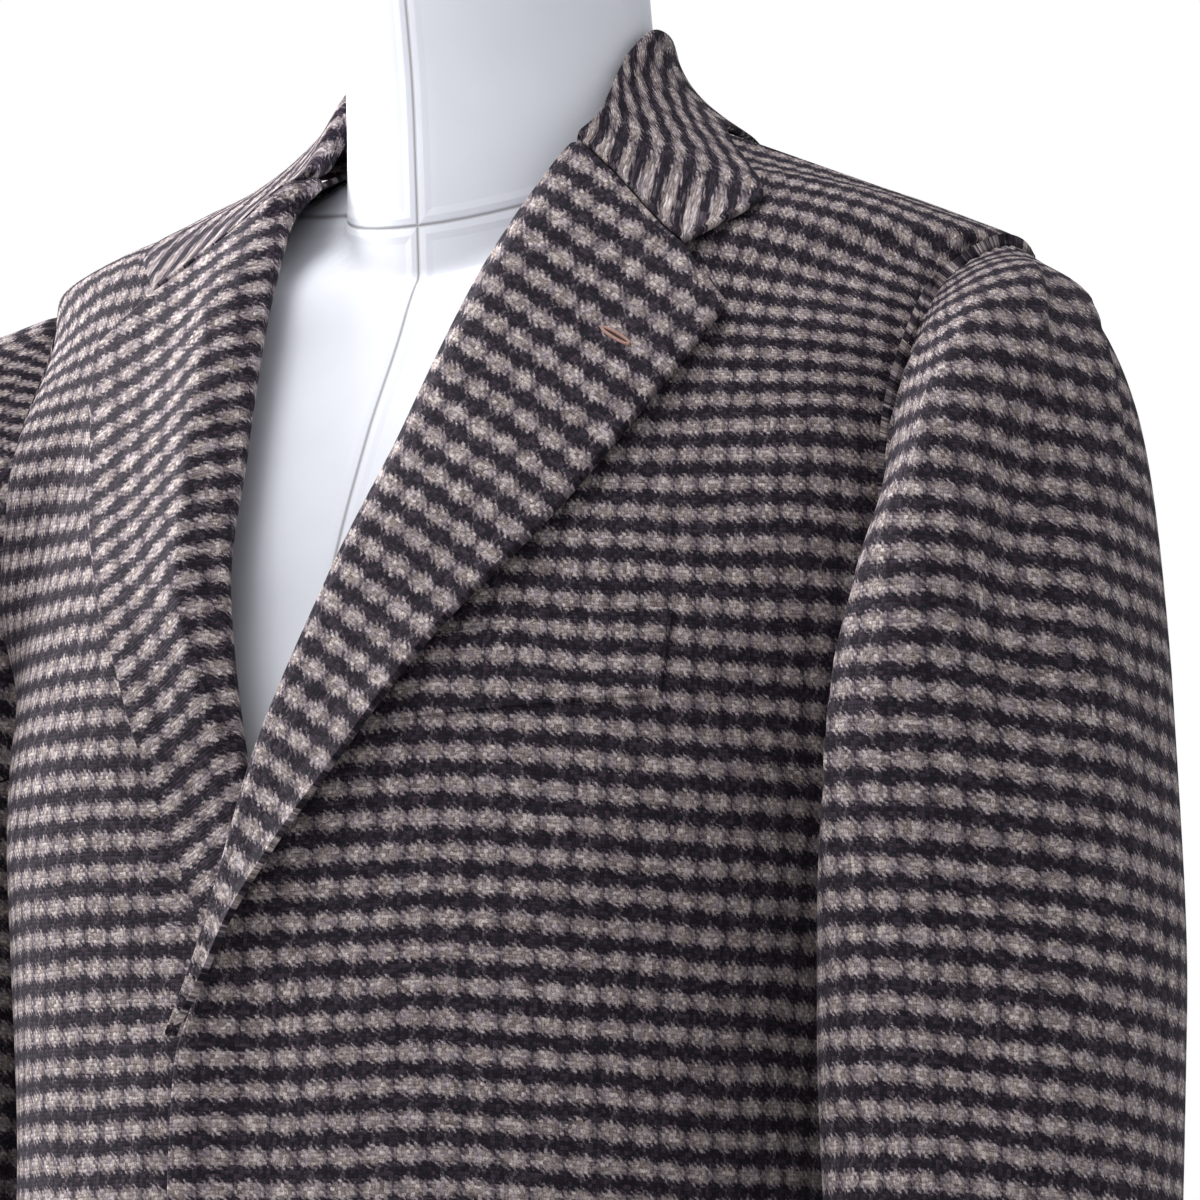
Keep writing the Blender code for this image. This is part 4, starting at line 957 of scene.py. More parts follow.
# ---- Fronts and backs ----
def skirt_heights():
    return HEM_HEIGHT + (ARMHOLE_BOTTOM - HEM_HEIGHT) * np.linspace(0, 1, SKIRT_ROWS)


def panel_top(turn_count):
    turn = np.linspace(0, np.pi, turn_count + 1)
    return (1 - np.cos(turn)) / 2


def panel(lower, top, left, right, across, up):
    """A panel's lower rows, carried on between its two sides to its top seam."""
    upper = settle(COAT, coons(lower[-1], top, left, right, across, up))
    upper[:, 0] = left
    upper[:, -1] = right
    upper[-1] = top
    return np.concatenate([lower, upper[1:]])


def front_grid(side_of_coat):
    """A front, laid on the wearer's left and without its lifts: edge and roll line first, side seam last."""
    turns = eased(PANEL_COLUMNS)
    heights = skirt_heights()[:, None]
    half = read(COAT, "half_width", heights)
    power = read(COAT, "square", heights) / 2
    edge_at = np.where(heights > ROLL_END, roll_at(heights, side_of_coat), -OVERLAP)
    start = np.sign(edge_at) * np.arcsin((np.abs(edge_at) / half)**power) / (np.pi / 2)
    lower = ring_point(COAT, start + (1 - start) * turns, heights)
    up = panel_top(CHEST_ROWS)
    right = armhole(-1, CHEST_ROWS)
    heights = ARMHOLE_BOTTOM + (ROLL_LINE[-1].height - ARMHOLE_BOTTOM) * np.minimum(up / ROLL_SHARE, 1)
    left = front_point(COAT, roll_at(heights, side_of_coat), heights)
    top = shoulder_seam(turns)
    left[-1] = top[0]
    grid = panel(lower, top, left, right, turns, up)
    grid[:, -1] = seam_shift(grid[:, -1], (0, -1, 0))
    grid[-1] = seam_shift(grid[-1], (0, -1, 0))
    return grid


def back_grid():
    """The wearer's left back: the side seam first, the centre-back seam last."""
    neck_columns = PANEL_COLUMNS * 3 // 8
    seam_columns = PANEL_COLUMNS - neck_columns
    turns = np.linspace(0, 1, PANEL_COLUMNS)
    lower = ring_point(COAT, 1 + turns, skirt_heights()[:, None])
    up = panel_top(CHEST_ROWS)
    left = armhole(1, CHEST_ROWS)
    right = ring_point(COAT, 2.0, ARMHOLE_BOTTOM + (BACK_NECK - ARMHOLE_BOTTOM) * up)
    seam = shoulder_seam(np.linspace(1, 0, seam_columns))
    neck_turns = np.linspace(1, 2, neck_columns + 1)[1:]
    neck_heights = np.linspace(NECK_POINT, BACK_NECK, neck_columns + 1)[1:]
    top = np.concatenate([seam, ring_point(COAT, neck_turns, neck_heights)])
    grid = panel(lower, top, left, right, turns, up)
    grid[:, 0] = seam_shift(grid[:, 0], (0, 1, 0))
    grid[-1, :seam_columns] = seam_shift(grid[-1, :seam_columns], (0, 1, 0))
    grid[:, -1, 0] = SEAM_GAP / 2
    return grid


def roll_lift(grid):
    """Both fronts stand forward beside the roll line, high on the chest."""
    height = grid[..., 2]
    distance = np.abs(grid[..., 0]) - read(ROLL_LINE, "from_centre", height)
    band = ramp(*ROLL_LIFT_LOW, height) * (1 - ramp(*ROLL_LIFT_HIGH, height))
    return ROLL_LIFT * band * (1 - ramp(0.0, ROLL_LIFT_REACH, distance))


def left_lift(grid):
    """The left front's edge turns forward below the roll, with a shallow trough beside it."""
    distance = np.abs(grid[..., 0] + OVERLAP)
    below = ramp(*EDGE_HEIGHTS, grid[..., 2]) * (1 - ramp(*EDGE_FADE, grid[..., 2]))
    ridge = EDGE_RIDGE * (1 - ramp(0.0, EDGE_RIDGE_REACH, distance))
    trough = -EDGE_TROUGH * ramp(*EDGE_TROUGH_NEAR, distance) * (1 - ramp(*EDGE_TROUGH_FAR, distance))
    return below * (ridge + trough) + roll_lift(grid)


def right_lift(grid):
    """The right front lies under the left one, and under its own lapel where the two cross."""
    height = grid[..., 2]
    crossing = ramp(*CROSS_LOW, height)
    depth = CLOTH + EDGE_TROUGH + 2 * LAYER_GAP + crossing * (DOUBLE_CLOTH + LAYER_GAP)
    span = CROSS_REACH + CROSS_SPREAD * crossing
    lower = 1 - ramp(*CROSS_HIGH, height)
    return roll_lift(grid) - depth * lower * ramp(-span, -CROSS_START, grid[..., 0])


def shoulder_warp(grid):
    """The warp runs up the body, and leans back over the shoulder as it nears the top."""
    lean = np.radians(WARP_LEAN) * ramp(*WARP_LEAN_HEIGHTS, grid[..., 2])
    toward = np.sign(grid[..., 1].mean()) * -1
    return np.stack([0 * lean, toward * np.sin(lean), np.cos(lean)], -1)


def back_point(x, z):
    """A point on the back of the coat's face, at x from the centre and height z."""
    half = read(COAT, "half_width", z)
    square = read(COAT, "square", z)
    reach_back = (1 - (np.abs(x) / half)**square)**(1 / square)
    return np.array([x, float(read(COAT, "side_y", z) + read(COAT, "back", z) * reach_back), z])


def panel_folds(grid, normals, folds, side, place):
    """The lift of all of a panel's folds; place turns (from the centre, height) into a point."""
    lift = np.zeros(grid.shape[:2])
    for fold in folds:
        points = [np.array(place(side * across, height)) for across, height in fold[:3]]
        lift += fold_lift(grid, normals, fold_curve(*points), fold)
    return lift


def front_relief(grid, normals, side):
    """How far each point of a front moves for its folds, its sewn armhole line and the fill beside that."""
    distance = seam_distance(grid, armhole(-1, SEAM_STEPS))
    extra = panel_folds(grid, normals, FRONT_FOLDS[side], side, lambda x, z: front_point(COAT, x, z))
    extra -= GROOVE * np.exp(-(distance / GROOVE_REACH)**2)
    return normals * extra[..., None] + fill_way(normals, side) * seam_fill(grid, distance, side)[..., None]


def build_fronts():
    """Both fronts. Returns the left one's face and its flat map, which the welt's weave follows."""
    faces = {}
    for name, side in (("front_left", 1), ("front_right", -1)):
        grid = front_grid(side)
        if side < 0:
            grid = mirrored(grid)
        normals = outward(COAT, grid)
        lift = left_lift(grid) if side > 0 else right_lift(grid)
        smooth = grid + normals * lift[..., None]
        uv = flat_map(smooth, shoulder_warp(smooth))
        if side < 0:
            uv = uv - uv[0, -1]
        uv[..., 1] = row_height(grid, -1)
        outer = smooth + front_relief(grid, normals, side)
        faces[side] = smooth, normals, uv
        add_cloth(name, outer, outer - normals * CLOTH, uv)
    return faces[1]


def build_backs():
    for name, side in (("back_left", 1), ("back_right", -1)):
        grid = back_grid()
        if side < 0:
            grid = mirrored(grid)
        normals = outward(COAT, grid)
        uv = flat_map(grid, shoulder_warp(grid))
        uv[..., 1] = row_height(grid, 1)
        distance = seam_distance(grid, armhole(1, SEAM_STEPS))
        extra = panel_folds(grid, normals, BACK_FOLDS[side], side, back_point)
        extra -= GROOVE * np.exp(-(distance / GROOVE_REACH)**2)
        extra -= GROOVE * np.exp(-(grid[..., 0] / GROOVE_REACH)**2)
        outer = grid + normals * extra[..., None]
        add_cloth(name, outer, outer - normals * CLOTH, uv)


# ---- Lapels ----
def lapel_plan(side, rows, across):
    """Front-view places of a lapel, on the left, (rows, columns, 2): roll line first, outer edge last."""
    outline = LEFT_LAPEL_EDGE if side > 0 else RIGHT_LAPEL_EDGE
    up = np.linspace(0, 1, rows)
    foot = outline[0].height
    roll_z = foot + (ROLL_LINE[-1].height - foot) * up
    roll = np.stack([roll_at(roll_z, side), roll_z], -1)
    edge_z = foot + LAPEL_FOOT + (outline[-1].height - foot - LAPEL_FOOT) * up
    edge = np.stack([read(outline, "from_centre", edge_z), edge_z], -1)
    gorge = np.array([ROLL_LINE[-1].from_centre, ROLL_LINE[-1].height])
    notch = np.array([GORGE_NOTCH.from_centre, GORGE_NOTCH.height])
    tip = np.array([outline[-1].from_centre, outline[-1].height])
    top = gorge + (notch - gorge) * np.minimum(across / NOTCH_ACROSS, 1)[:, None]
    top += (tip - notch) * np.maximum(across / NOTCH_ACROSS - 1, 0)[:, None] / (1 / NOTCH_ACROSS - 1)
    bottom = roll[0] + (edge[0] - roll[0]) * across[:, None]
    return coons(bottom, top, roll, edge, across, up)


def lapel_across():
    return np.unique(np.concatenate([eased(LAPEL_COLUMNS, 0.5), [NOTCH_ACROSS]]))


def lapel_faces(side, across, rows=LAPEL_ROWS):
    """Outer and inner grids of a lapel, made from the points of the front that it lies on, moved out."""
    plan = lapel_plan(side, rows, across)
    base = front_point(COAT, plan[..., 0], plan[..., 1])
    if side < 0:
        base = mirrored(base)
    normals = outward(COAT, base)
    lift = left_lift(base) if side > 0 else right_lift(base)
    stand = read(LAPEL_STAND, "stand", across) + 0 * base[..., 2]
    if side < 0:
        rise = ramp(*RIDGE_LOW, base[..., 2]) * (1 - ramp(*RIDGE_HIGH, base[..., 2]))
        stand = stand[:, ::-1] + rise * read(LAPEL_STAND, "ridge", across)[::-1]
    under = np.maximum(stand - DOUBLE_CLOTH, LAYER_GAP)
    if side > 0:
        bloom = ramp(*BLOOM_LOW, base[..., 2]) * (1 - ramp(*BLOOM_HIGH, base[..., 2])) * across**2
        stand = stand + LAPEL_BLOOM * bloom
        under = under + LAPEL_BLOOM * bloom
    else:
        press = 1 - ramp(*PRESS_HEIGHTS, base[..., 2])
        stand = stand + (LAYER_GAP + DOUBLE_CLOTH - PRESS_SLACK - stand) * press
        under = under + (LAYER_GAP - under) * press
    outer = base + normals * (lift + stand)[..., None]
    inner = base + normals * (lift + under)[..., None]
    return outer, inner


def with_roll(outer, inner, side):
    """A lapel's grids, carried on from the roll line round its soft fold to behind the front's edge."""
    if side < 0:
        outer, inner = outer[:, ::-1], inner[:, ::-1]
    face = unit(outer[:, 0] - inner[:, 0])
    away = outer[:, 0] - outer[:, 1]
    away = unit(away - (away * face).sum(-1, keepdims=True) * face)
    thick = np.linalg.norm(outer[:, 0] - inner[:, 0], axis=-1, keepdims=True)
    rise = outer[:, 0, 2:] - outer[0, 0, 2]
    radius = ROLL_RADIUS * (ROLL_FOOT + (1 - ROLL_FOOT) * ramp(0, ROLL_TAPER, rise))
    hollow = np.maximum(radius - thick, SEAM_GAP)
    middle = outer[:, 0] - face * radius
    turned = []
    for step in range(ROLL_STEPS, 0, -1):
        angle = np.radians(ROLL_TURN) * step / ROLL_STEPS
        way = away * np.sin(angle) + face * np.cos(angle)
        turned.append((middle + way * radius, middle + way * hollow))
    outer = np.concatenate([np.stack([pair[0] for pair in turned], 1), outer], axis=1)
    inner = np.concatenate([np.stack([pair[1] for pair in turned], 1), inner], axis=1)
    if side < 0:
        outer, inner = outer[:, ::-1], inner[:, ::-1]
    return outer, inner


def build_lapels():
    across = lapel_across()
    for name, side in (("lapel_left", 1), ("lapel_right", -1)):
        outer, inner = with_roll(*lapel_faces(side, across), side)
        edge = outer[:, -1 if side > 0 else 0]
        low, high = edge[list(LAPEL_WARP_ROWS)]
        way = unit(high - low)
        uv = flat_map(outer, way, start_column=-1 if side > 0 else 0)
        add_cloth(name, outer, inner, uv, shift=LAPEL_SHIFT)


# ---- Collar ----
def round_collar(names, places, flip):
    """Columns of the collar's table from the left gorge seam round the back to the right one."""
    rows = np.stack([read(COLLAR, name, places) for name in names], -1)
    return np.concatenate([rows, rows[-2::-1] * flip])


def collar_section(top, edge, out, stand, hollow):
    """Points of a section: up the stand on the neck's side, over the fold and down the fall."""
    turn = COLLAR_TURN
    down = np.array([0.0, 0.0, -1.0])
    inside = top - out * turn
    path = [inside + down * stand, inside + down * min(FOLD_DROP, FOLD_SHARE * stand)]
    path += [top - out * turn * FOLD_INNER[0] + down * FOLD_INNER[1], top,
             top + out * turn * FOLD_OUTER[0] + down * FOLD_OUTER[1]]
    start = top + out * turn + down * FOLD_DROP
    for t in COLLAR_FALL:
        path.append(start + (edge - start) * t - out * hollow * np.sin(np.pi * t))
    return path


def gorge_seam(side):
    """The collar's end on a lapel: outer and inner points of its fall along the lapel's upper edge."""
    across = lapel_across()
    wanted = np.concatenate([[COLLAR_GORGE], np.array(COLLAR_FALL) * NOTCH_ACROSS])
    ends = []
    for face in lapel_faces(side, across):
        face = face if side > 0 else face[:, ::-1]
        edge = face[-1] + unit(face[-1] - face[-2]) * SEAM_GAP
        ends.append(np.stack([np.interp(wanted, across, edge[:, axis]) for axis in range(3)], -1))
    return ends


def refined(rows, steps):
    """A smooth curve through the rows of a grid, with this many points for each of its spans."""
    padded = np.concatenate([2 * rows[:1] - rows[1:2], rows, 2 * rows[-1:] - rows[-2:-1]])
    out = []
    for i in range(1, len(padded) - 2):
        p0, p1, p2, p3 = padded[i - 1:i + 3]
        for t in np.arange(steps) / steps:
            out.append(0.5 * (2 * p1 + (p2 - p0) * t + (2 * p0 - 5 * p1 + 4 * p2 - p3) * t**2
                              + (3 * p1 - p0 - 3 * p2 + p3) * t**3))
    out.append(rows[-1])
    return np.array(out)


def collar_map(grid, along, down, corner):
    """The collar's rows lie along its fall's edge, and run on straight past its two front corners."""
    uv = np.stack([along[None] + 0 * down, down], -1)
    normals = grid_normals(grid)
    last = grid.shape[1] - 1
    for start, toward, end in ((corner, 1, -1), (last - corner, -1, last + 1)):
        back = unit(grid[-1, start + toward * MAP_COLUMNS] - grid[-1, start])
        for here in range(start - toward, end, -toward):
            before = here + toward
            move = grid[:, here] - grid[:, before]
            facing = unit(normals[:, here] + normals[:, before])
            row_way = unit(back - (facing @ back)[:, None] * facing)
            edge_way = np.cross(facing, row_way)
            if edge_way[-1] @ (grid[-1, start] - grid[MAP_ROWS[0], start]) < 0:
                edge_way = -edge_way
            uv[:, here, 0] = uv[:, before, 0] + toward * (move * row_way).sum(-1)
            uv[:, here, 1] = uv[:, before, 1] + (move * edge_way).sum(-1)
    return uv


def build_collar():
    flip = np.array([-1.0, 1.0, 1.0])
    places = np.arange(0, 6 + COLLAR_STEP / 2, COLLAR_STEP)
    fold = round_collar(("fold_x", "fold_y", "fold_z"), places, flip)
    edge = round_collar(("edge_x", "edge_y", "edge_z"), places, flip)
    stand = round_collar(("stand",), places, 1)[:, 0]
    hollow = round_collar(("hollow",), places, 1)[:, 0]
    edge = settle(COAT, edge)
    edge = edge + outward(COAT, edge) * (LAYER_GAP + FALL_CLOTH)
    out = unit((fold - np.array(NECK_MIDDLE)) * np.array([1.0, 1.0, 0.0]))
    sections = [collar_section(*parts) for parts in zip(fold, edge, out, stand, hollow)]
    outer = np.array(sections).transpose(1, 0, 2)
    first = outer.shape[0] - len(COLLAR_FALL) - 1
    clearance = LAYER_GAP + FALL_CLOTH + COLLAR_CLEAR
    # Below the neck point the fall is kept clear of the shoulders.
    clear = kept_off(COAT, outer[first + 1:], clearance)
    beside = (1 - ramp(*FALL_CLEAR_HEIGHTS, outer[first + 1:, :, 2]))[..., None]
    outer[first + 1:] += (clear - outer[first + 1:]) * beside
    inner = outer + grid_normals(outer) * FALL_CLOTH
    fade = (np.clip(1 - places, 0, 1)**1.5)[None, :, None]
    for side in (1, -1):
        for face, wanted in zip((outer, inner), gorge_seam(side)):
            near = face[first:, ::side]
            near[:, :len(places)] += (wanted - near[:, 0])[:, None] * fade
    outer = refined(outer, COLLAR_FINE)
    inner = refined(inner, COLLAR_FINE)
    line = outer[MAP_ROWS[1]]
    along = np.cumsum(np.linalg.norm(np.diff(line, axis=0, prepend=line[:1]), axis=-1))
    down = np.cumsum(np.linalg.norm(np.diff(outer, axis=0, prepend=outer[:1]), axis=-1), axis=0)
    uv = collar_map(outer, along, down - down[-1:], int(round(1 / COLLAR_STEP)))
    add_cloth("collar", outer, inner, uv, shift=COLLAR_SHIFT)


# ---- Sleeves ----
SLEEVE_ALONG = np.linspace(0, 1, SLEEVE_FINE)**SLEEVE_EASE
SLEEVE_TOP = np.array([0.250, -0.040, 1.266])
SLEEVE_END = np.array([0.2715, -0.070, 0.8185])
SLEEVE_ROW_WAY = np.array([0.050, 0.090, 1.0])
CROWN = (0.35, 0.85)      # how far up the cloth faces where its rows lie over the crown
MATCH_HEIGHT = 1.330      # the rows meet the front's rows at this height on the armhole
FILL_ALONG = 0.09         # the seam's fill fades out over this part of the sleeve
PUCKER_COUNT = 58
PUCKER_STRAY = ((2.2, 14), (1.1, 41))   # how far and how often the puckers wander from even places
PUCKER_FADE = (0.6, 0.4, 23)            # their depth, how much it changes, and how often


def sleeve_tube():
    """The left sleeve's outer face, (rows, columns, 3): columns run from the shoulder tip by the front."""
    front = armhole(-1, SLEEVE_SIDE)[::-1]
    back = armhole(1, SLEEVE_SIDE)[1:-1]
    seam = np.concatenate([front, back])
    columns = len(seam)
    angle = np.arange(columns) / columns * 2 * np.pi
    shape = np.cos(angle), np.sin(angle)
    rows = []
    for along in SLEEVE_ALONG:
        value = {name: float(read(SLEEVE, name, along)) for name in SleeveRing._fields[1:]}
        power = 2 / value["square"]
        up = np.sign(shape[0]) * np.abs(shape[0])**power
        side = np.abs(shape[1])**power * np.where(shape[1] > 0, -value["fore"], value["aft"])
        outer = np.array([value["outer_x"], value["middle_y"], value["outer_z"]])
        inner = np.array([value["inner_x"], value["middle_y"], value["inner_z"]])
        ring = (outer + inner) / 2 + up[:, None] * (outer - inner) / 2
        ring[:, 1] += side
        hold = 1 - ramp(0.0, SLEEVE_HOLD, along)
        rows.append(hold * seam + (1 - hold) * ring)
    tube = np.stack(rows)
    tube[0] += outward(COAT, tube[0]) * SEAM_GAP
    return tube


def tube_place(tube, around, along):
    """The point of a sleeve's tube at a place around it and along it."""
    row = int(np.searchsorted(SLEEVE_ALONG, along))
    return tube[min(row, len(tube) - 1), int(round(around * tube.shape[1])) % tube.shape[1]]


def sleeve_rows(tube, normals, start, flat):
    """A sleeve's flat map, with rows that fall outwards and lie over the crown at the top."""
    axis = unit(SLEEVE_ROW_WAY)
    height = tube @ axis
    up = height.copy()
    around = flat.copy()
    for row in range(start - 1, -1, -1):
        over = ramp(*CROWN, (normals[row, :, 2] + normals[row + 1, :, 2]) / 2)
        step = np.linalg.norm(tube[row] - tube[row + 1], axis=-1)
        up[row] = up[row + 1] + (height[row] - height[row + 1]) * (1 - over) + step * over
        around[row] = around[row + 1] + (flat[row] - flat[row + 1]) * (1 - over)
    front = tube[0, :tube.shape[1] // 2]
    match = front[np.abs(front[:, 2] - MATCH_HEIGHT).argmin()]
    return np.stack([around, up - match @ axis + float(row_height(match, -1))], -1)


def build_sleeve(side):
    tube = sleeve_tube()
    columns = tube.shape[1]
    front_seam, hind_seam = (columns * turns // 24 for turns in SEAM_TURNS)
    seam = tube[0].copy()
    body = outward(COAT, seam)
    front_side = seam[:, 1] < read(COAT, "side_y", seam[:, 2])
    fill = seam_fill(seam, np.zeros(columns), side) * front_side
    fill = fill_way(body, side) * fill[:, None]
    tube = tube + fill[None] * (1 - ramp(0, FILL_ALONG, SLEEVE_ALONG))[:, None, None]
    wrapped = np.concatenate([tube[:, -1:], tube, tube[:, :1]], axis=1)
    normals = grid_normals(wrapped)[:, 1:-1]
    hole = tube[0].mean(axis=0) - tube[0]
    hole = unit(hole - (hole * body).sum(-1, keepdims=True) * body)
    start = SLEEVE_MAP_ROW
    axis = unit(SLEEVE_TOP - SLEEVE_END)
    around = np.roll(tube, columns // 2, axis=1)
    mapped = np.roll(flat_map(around, axis, start_row=start), -(columns // 2), axis=1)
    mapped -= mapped[start, 0]
    mapped = sleeve_rows(tube, normals, start, mapped[..., 0])
    # Folds, the sewn line and its puckers.
    lift = np.zeros(tube.shape[:2])
    for fold in SLEEVE_FOLDS[side]:
        lift += fold_lift(tube, normals, fold_curve(*[tube_place(tube, *place) for place in fold[:3]]), fold)
    distance = np.cumsum(np.linalg.norm(np.diff(tube, axis=0, prepend=tube[:1]), axis=-1), axis=0)
    turn = np.arange(columns) / columns
    stray = sum(far * np.sin(often * turn) for far, often in PUCKER_STRAY)
    ripple = np.sin(2 * np.pi * PUCKER_COUNT * turn + stray)
    ripple = ripple * (PUCKER_FADE[0] + PUCKER_FADE[1] * np.sin(PUCKER_FADE[2] * turn + side))
    band = ramp(0, PUCKER_REACH[0], distance) * (1 - ramp(*PUCKER_REACH, distance))
    lift += PUCKER * ripple * band - GROOVE * np.exp(-(distance / GROOVE_REACH)**2)
    lift[0] = -GROOVE
    folded = tube + normals * lift[..., None]
    folded[0] = tube[0] - body * GROOVE
    pieces = {"under_sleeve": np.arange(front_seam, hind_seam + 1),
              "top_sleeve": np.arange(hind_seam, front_seam + columns + 1)}
    for piece, index in pieces.items():
        index = index % columns
        outer = folded[:, index].copy()
        facing = normals[:, index]
        for end, inside in ((0, 1), (-1, -2)):
            outer[:, end] += unit(outer[:, inside] - outer[:, end]) * SEAM_GAP / 2
        inner = outer - facing * CLOTH
        inner[0] = outer[0] + hole[index] * CLOTH
        uv = mapped[:, index].copy()
        if piece == "under_sleeve":
            uv[..., 0] = flat_map(tube[:, index], axis, start_row=start)[..., 0]
        hand = "_left" if side > 0 else "_right"
        if side < 0:
            outer, inner, uv = mirrored(outer), mirrored(inner), uv[:, ::-1] * np.array([-1.0, 1.0])
        add_cloth(piece + hand, outer, inner, uv,
                  shift=SLEEVE_SHIFT[side])


# ---- Chest welt ----
def carried_map(points, face, normals, uv):
    """Flat coordinates for points that lie just off a mapped face, so that their weave matches it."""
    flat, facing, known = face.reshape(-1, 3), normals.reshape(-1, 3), uv.reshape(-1, 2)
    out = np.empty(points.shape[:2] + (2,))
    for row, line in enumerate(points):
        near = ((line[:, None] - flat[None])**2).sum(-1).argmin(1)
        weft = unit(np.cross(np.array([0.0, 0.0, 1.0]), facing[near]))
        out[row, :, 0] = known[near, 0] + ((line - flat[near]) * weft).sum(-1)
    out[..., 1] = row_height(points, -1)
    return out


def build_welt(face, face_normals, face_uv):
    across = np.linspace(0, 1, WELT_COLUMNS)
    down = np.linspace(0, 1, WELT_ROWS)
    mouth_x = WELT_INNER.from_centre + (WELT_OUTER.from_centre - WELT_INNER.from_centre) * across
    mouth_z = WELT_INNER.height + (WELT_OUTER.height - WELT_INNER.height) * across
    x = mouth_x[None] + 0 * down[:, None]
    depth = WELT_DEPTH_INNER + (WELT_DEPTH_OUTER - WELT_DEPTH_INNER) * across
    z = mouth_z[None] - depth[None] * down[::-1, None]
    base = front_point(COAT, x, z)
    normals = outward(COAT, base)
    smooth = base + normals * left_lift(base)[..., None]
    under = smooth + front_relief(base, normals, 1) + normals * LAYER_GAP
    outer = under + normals * WELT_THICK
    uv = carried_map(smooth, face, face_normals, face_uv)
    add_cloth("chest_welt", outer, under, uv)


# ---- Dress form ----
REACH_MOST = 0.4
REACH_HALVINGS = 40


def reach(sections, ways, height):
    """How far a level section reaches from the form's axis, each way of a list of directions."""
    near = np.zeros(len(ways))
    far = np.full(len(ways), REACH_MOST)
    for _ in range(REACH_HALVINGS):
        middle = (near + far) / 2
        points = np.array([0, FORM_AXIS_Y, height]) + ways * middle[:, None]
        inside = level(sections, points) < 0
        near = np.where(inside, middle, near)
        far = np.where(inside, far, middle)
    return near


def form_heights():
    lower = np.linspace(FORM[0].height, FORM_SHOULDER, FORM_ROWS[0])
    upper = np.linspace(FORM_SHOULDER, FORM_NECK[-1].height, FORM_ROWS[1])[1:]
    return np.concatenate([lower, upper])


def build_form():
    """The form's body and neck in fine rings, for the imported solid's plain ones."""
    angles = np.arange(FORM_SIDES + 1) / FORM_SIDES * 2 * np.pi + np.pi
    rows = []
    for height in form_heights():
        out = np.zeros(FORM_SIDES + 1)
        flat = read(FORM, "half_width", height) / read(FORM, "front", height)
        ways = unit(np.stack([np.sin(angles) * flat, -np.cos(angles), 0 * angles], -1))
        if height <= FORM[-1].height:
            out = np.maximum(out, reach(FORM, ways, height))
        if height >= FORM_NECK[0].height:
            out = np.maximum(out, reach(FORM_NECK, ways, height))
        rows.append(np.array([0, FORM_AXIS_Y, height]) + ways * out[:, None])
    grid = np.stack(rows)
    uv = flat_map(grid, np.array([0.0, 0.0, 1.0]), start_row=FORM_MAP_ROW)
    rows, columns = grid.shape[:2]
    index = np.arange(rows * columns).reshape(rows, columns)
    quads = np.stack(corners(index), -1).reshape(-1, 4)
    faces = quads.tolist() + [index[0, :0:-1].tolist(), index[-1, 1:].tolist()]
    form = mesh_object("form_canvas_body", grid.reshape(-1, 3), faces, uv.reshape(-1, 2), CANVAS)
    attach(form, "root")
    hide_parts("form_torso")


# ---- Stage, light and camera ----
CAMERA_AZIMUTH = 35.0
CAMERA_DISTANCE = 2.5
CAMERA_HEIGHT = 1.02
FRAME = 1200.0            # the image's side, in pixels
FOCAL = 6500.0            # focal length, in pixels
AXIS_AT = 507.0           # where the form's axis crosses the image
HORIZON_AT = 1400.0       # where the camera's own level lies, below the image's edge
SENSOR = 36.0
AMBIENT = 0.57
SKY_TINT = (0.96, 0.97, 1.0, 1.0)
FLOOR = 8.0
LIT_PLACE = (0, 0, 1.25)
Lamp = namedtuple("Lamp", "name azimuth elevation distance size power")
LAMPS = (Lamp("key", -90.0, 26.0, 2.6, 1.2, 175.0), Lamp("above", -20.0, 68.0, 2.4, 1.4, 36.0))


def build_camera():
    azimuth = np.radians(CAMERA_AZIMUTH)
    right = np.array([np.cos(azimuth), np.sin(azimuth), 0.0])
    back = np.array([np.sin(azimuth), -np.cos(azimuth), 0.0])
    aside = (FRAME / 2 - AXIS_AT) / FOCAL * CAMERA_DISTANCE
    eye = back * CAMERA_DISTANCE + right * aside + np.array([0, 0, CAMERA_HEIGHT])
    pitch = np.arctan((HORIZON_AT - FRAME / 2) / FOCAL)
    data = bpy.data.cameras.new("camera")
    data.sensor_width = SENSOR
    data.lens = FOCAL / FRAME * SENSOR
    camera = bpy.data.objects.new("camera", data)
    camera.location = tuple(eye)
    camera.rotation_euler = (np.pi / 2 + pitch, 0, azimuth)
    bpy.context.scene.collection.objects.link(camera)
    bpy.context.scene.camera = camera


def area_light(lamp):
    """A soft square light, aimed at the coat from a bearing: 0 is in front and 90 is at its wearer's left."""
    a, e = np.radians(lamp.azimuth), np.radians(lamp.elevation)
    way = np.array([np.sin(a) * np.cos(e), -np.cos(a) * np.cos(e), np.sin(e)])
    data = bpy.data.lights.new(lamp.name, "AREA")
    data.size = lamp.size
    data.energy = lamp.power
    light = bpy.data.objects.new(lamp.name, data)
    light.location = tuple(np.array(LIT_PLACE) + way * lamp.distance)
    light.rotation_euler = Vector(tuple(way)).to_track_quat("Z", "Y").to_euler()
    bpy.context.scene.collection.objects.link(light)


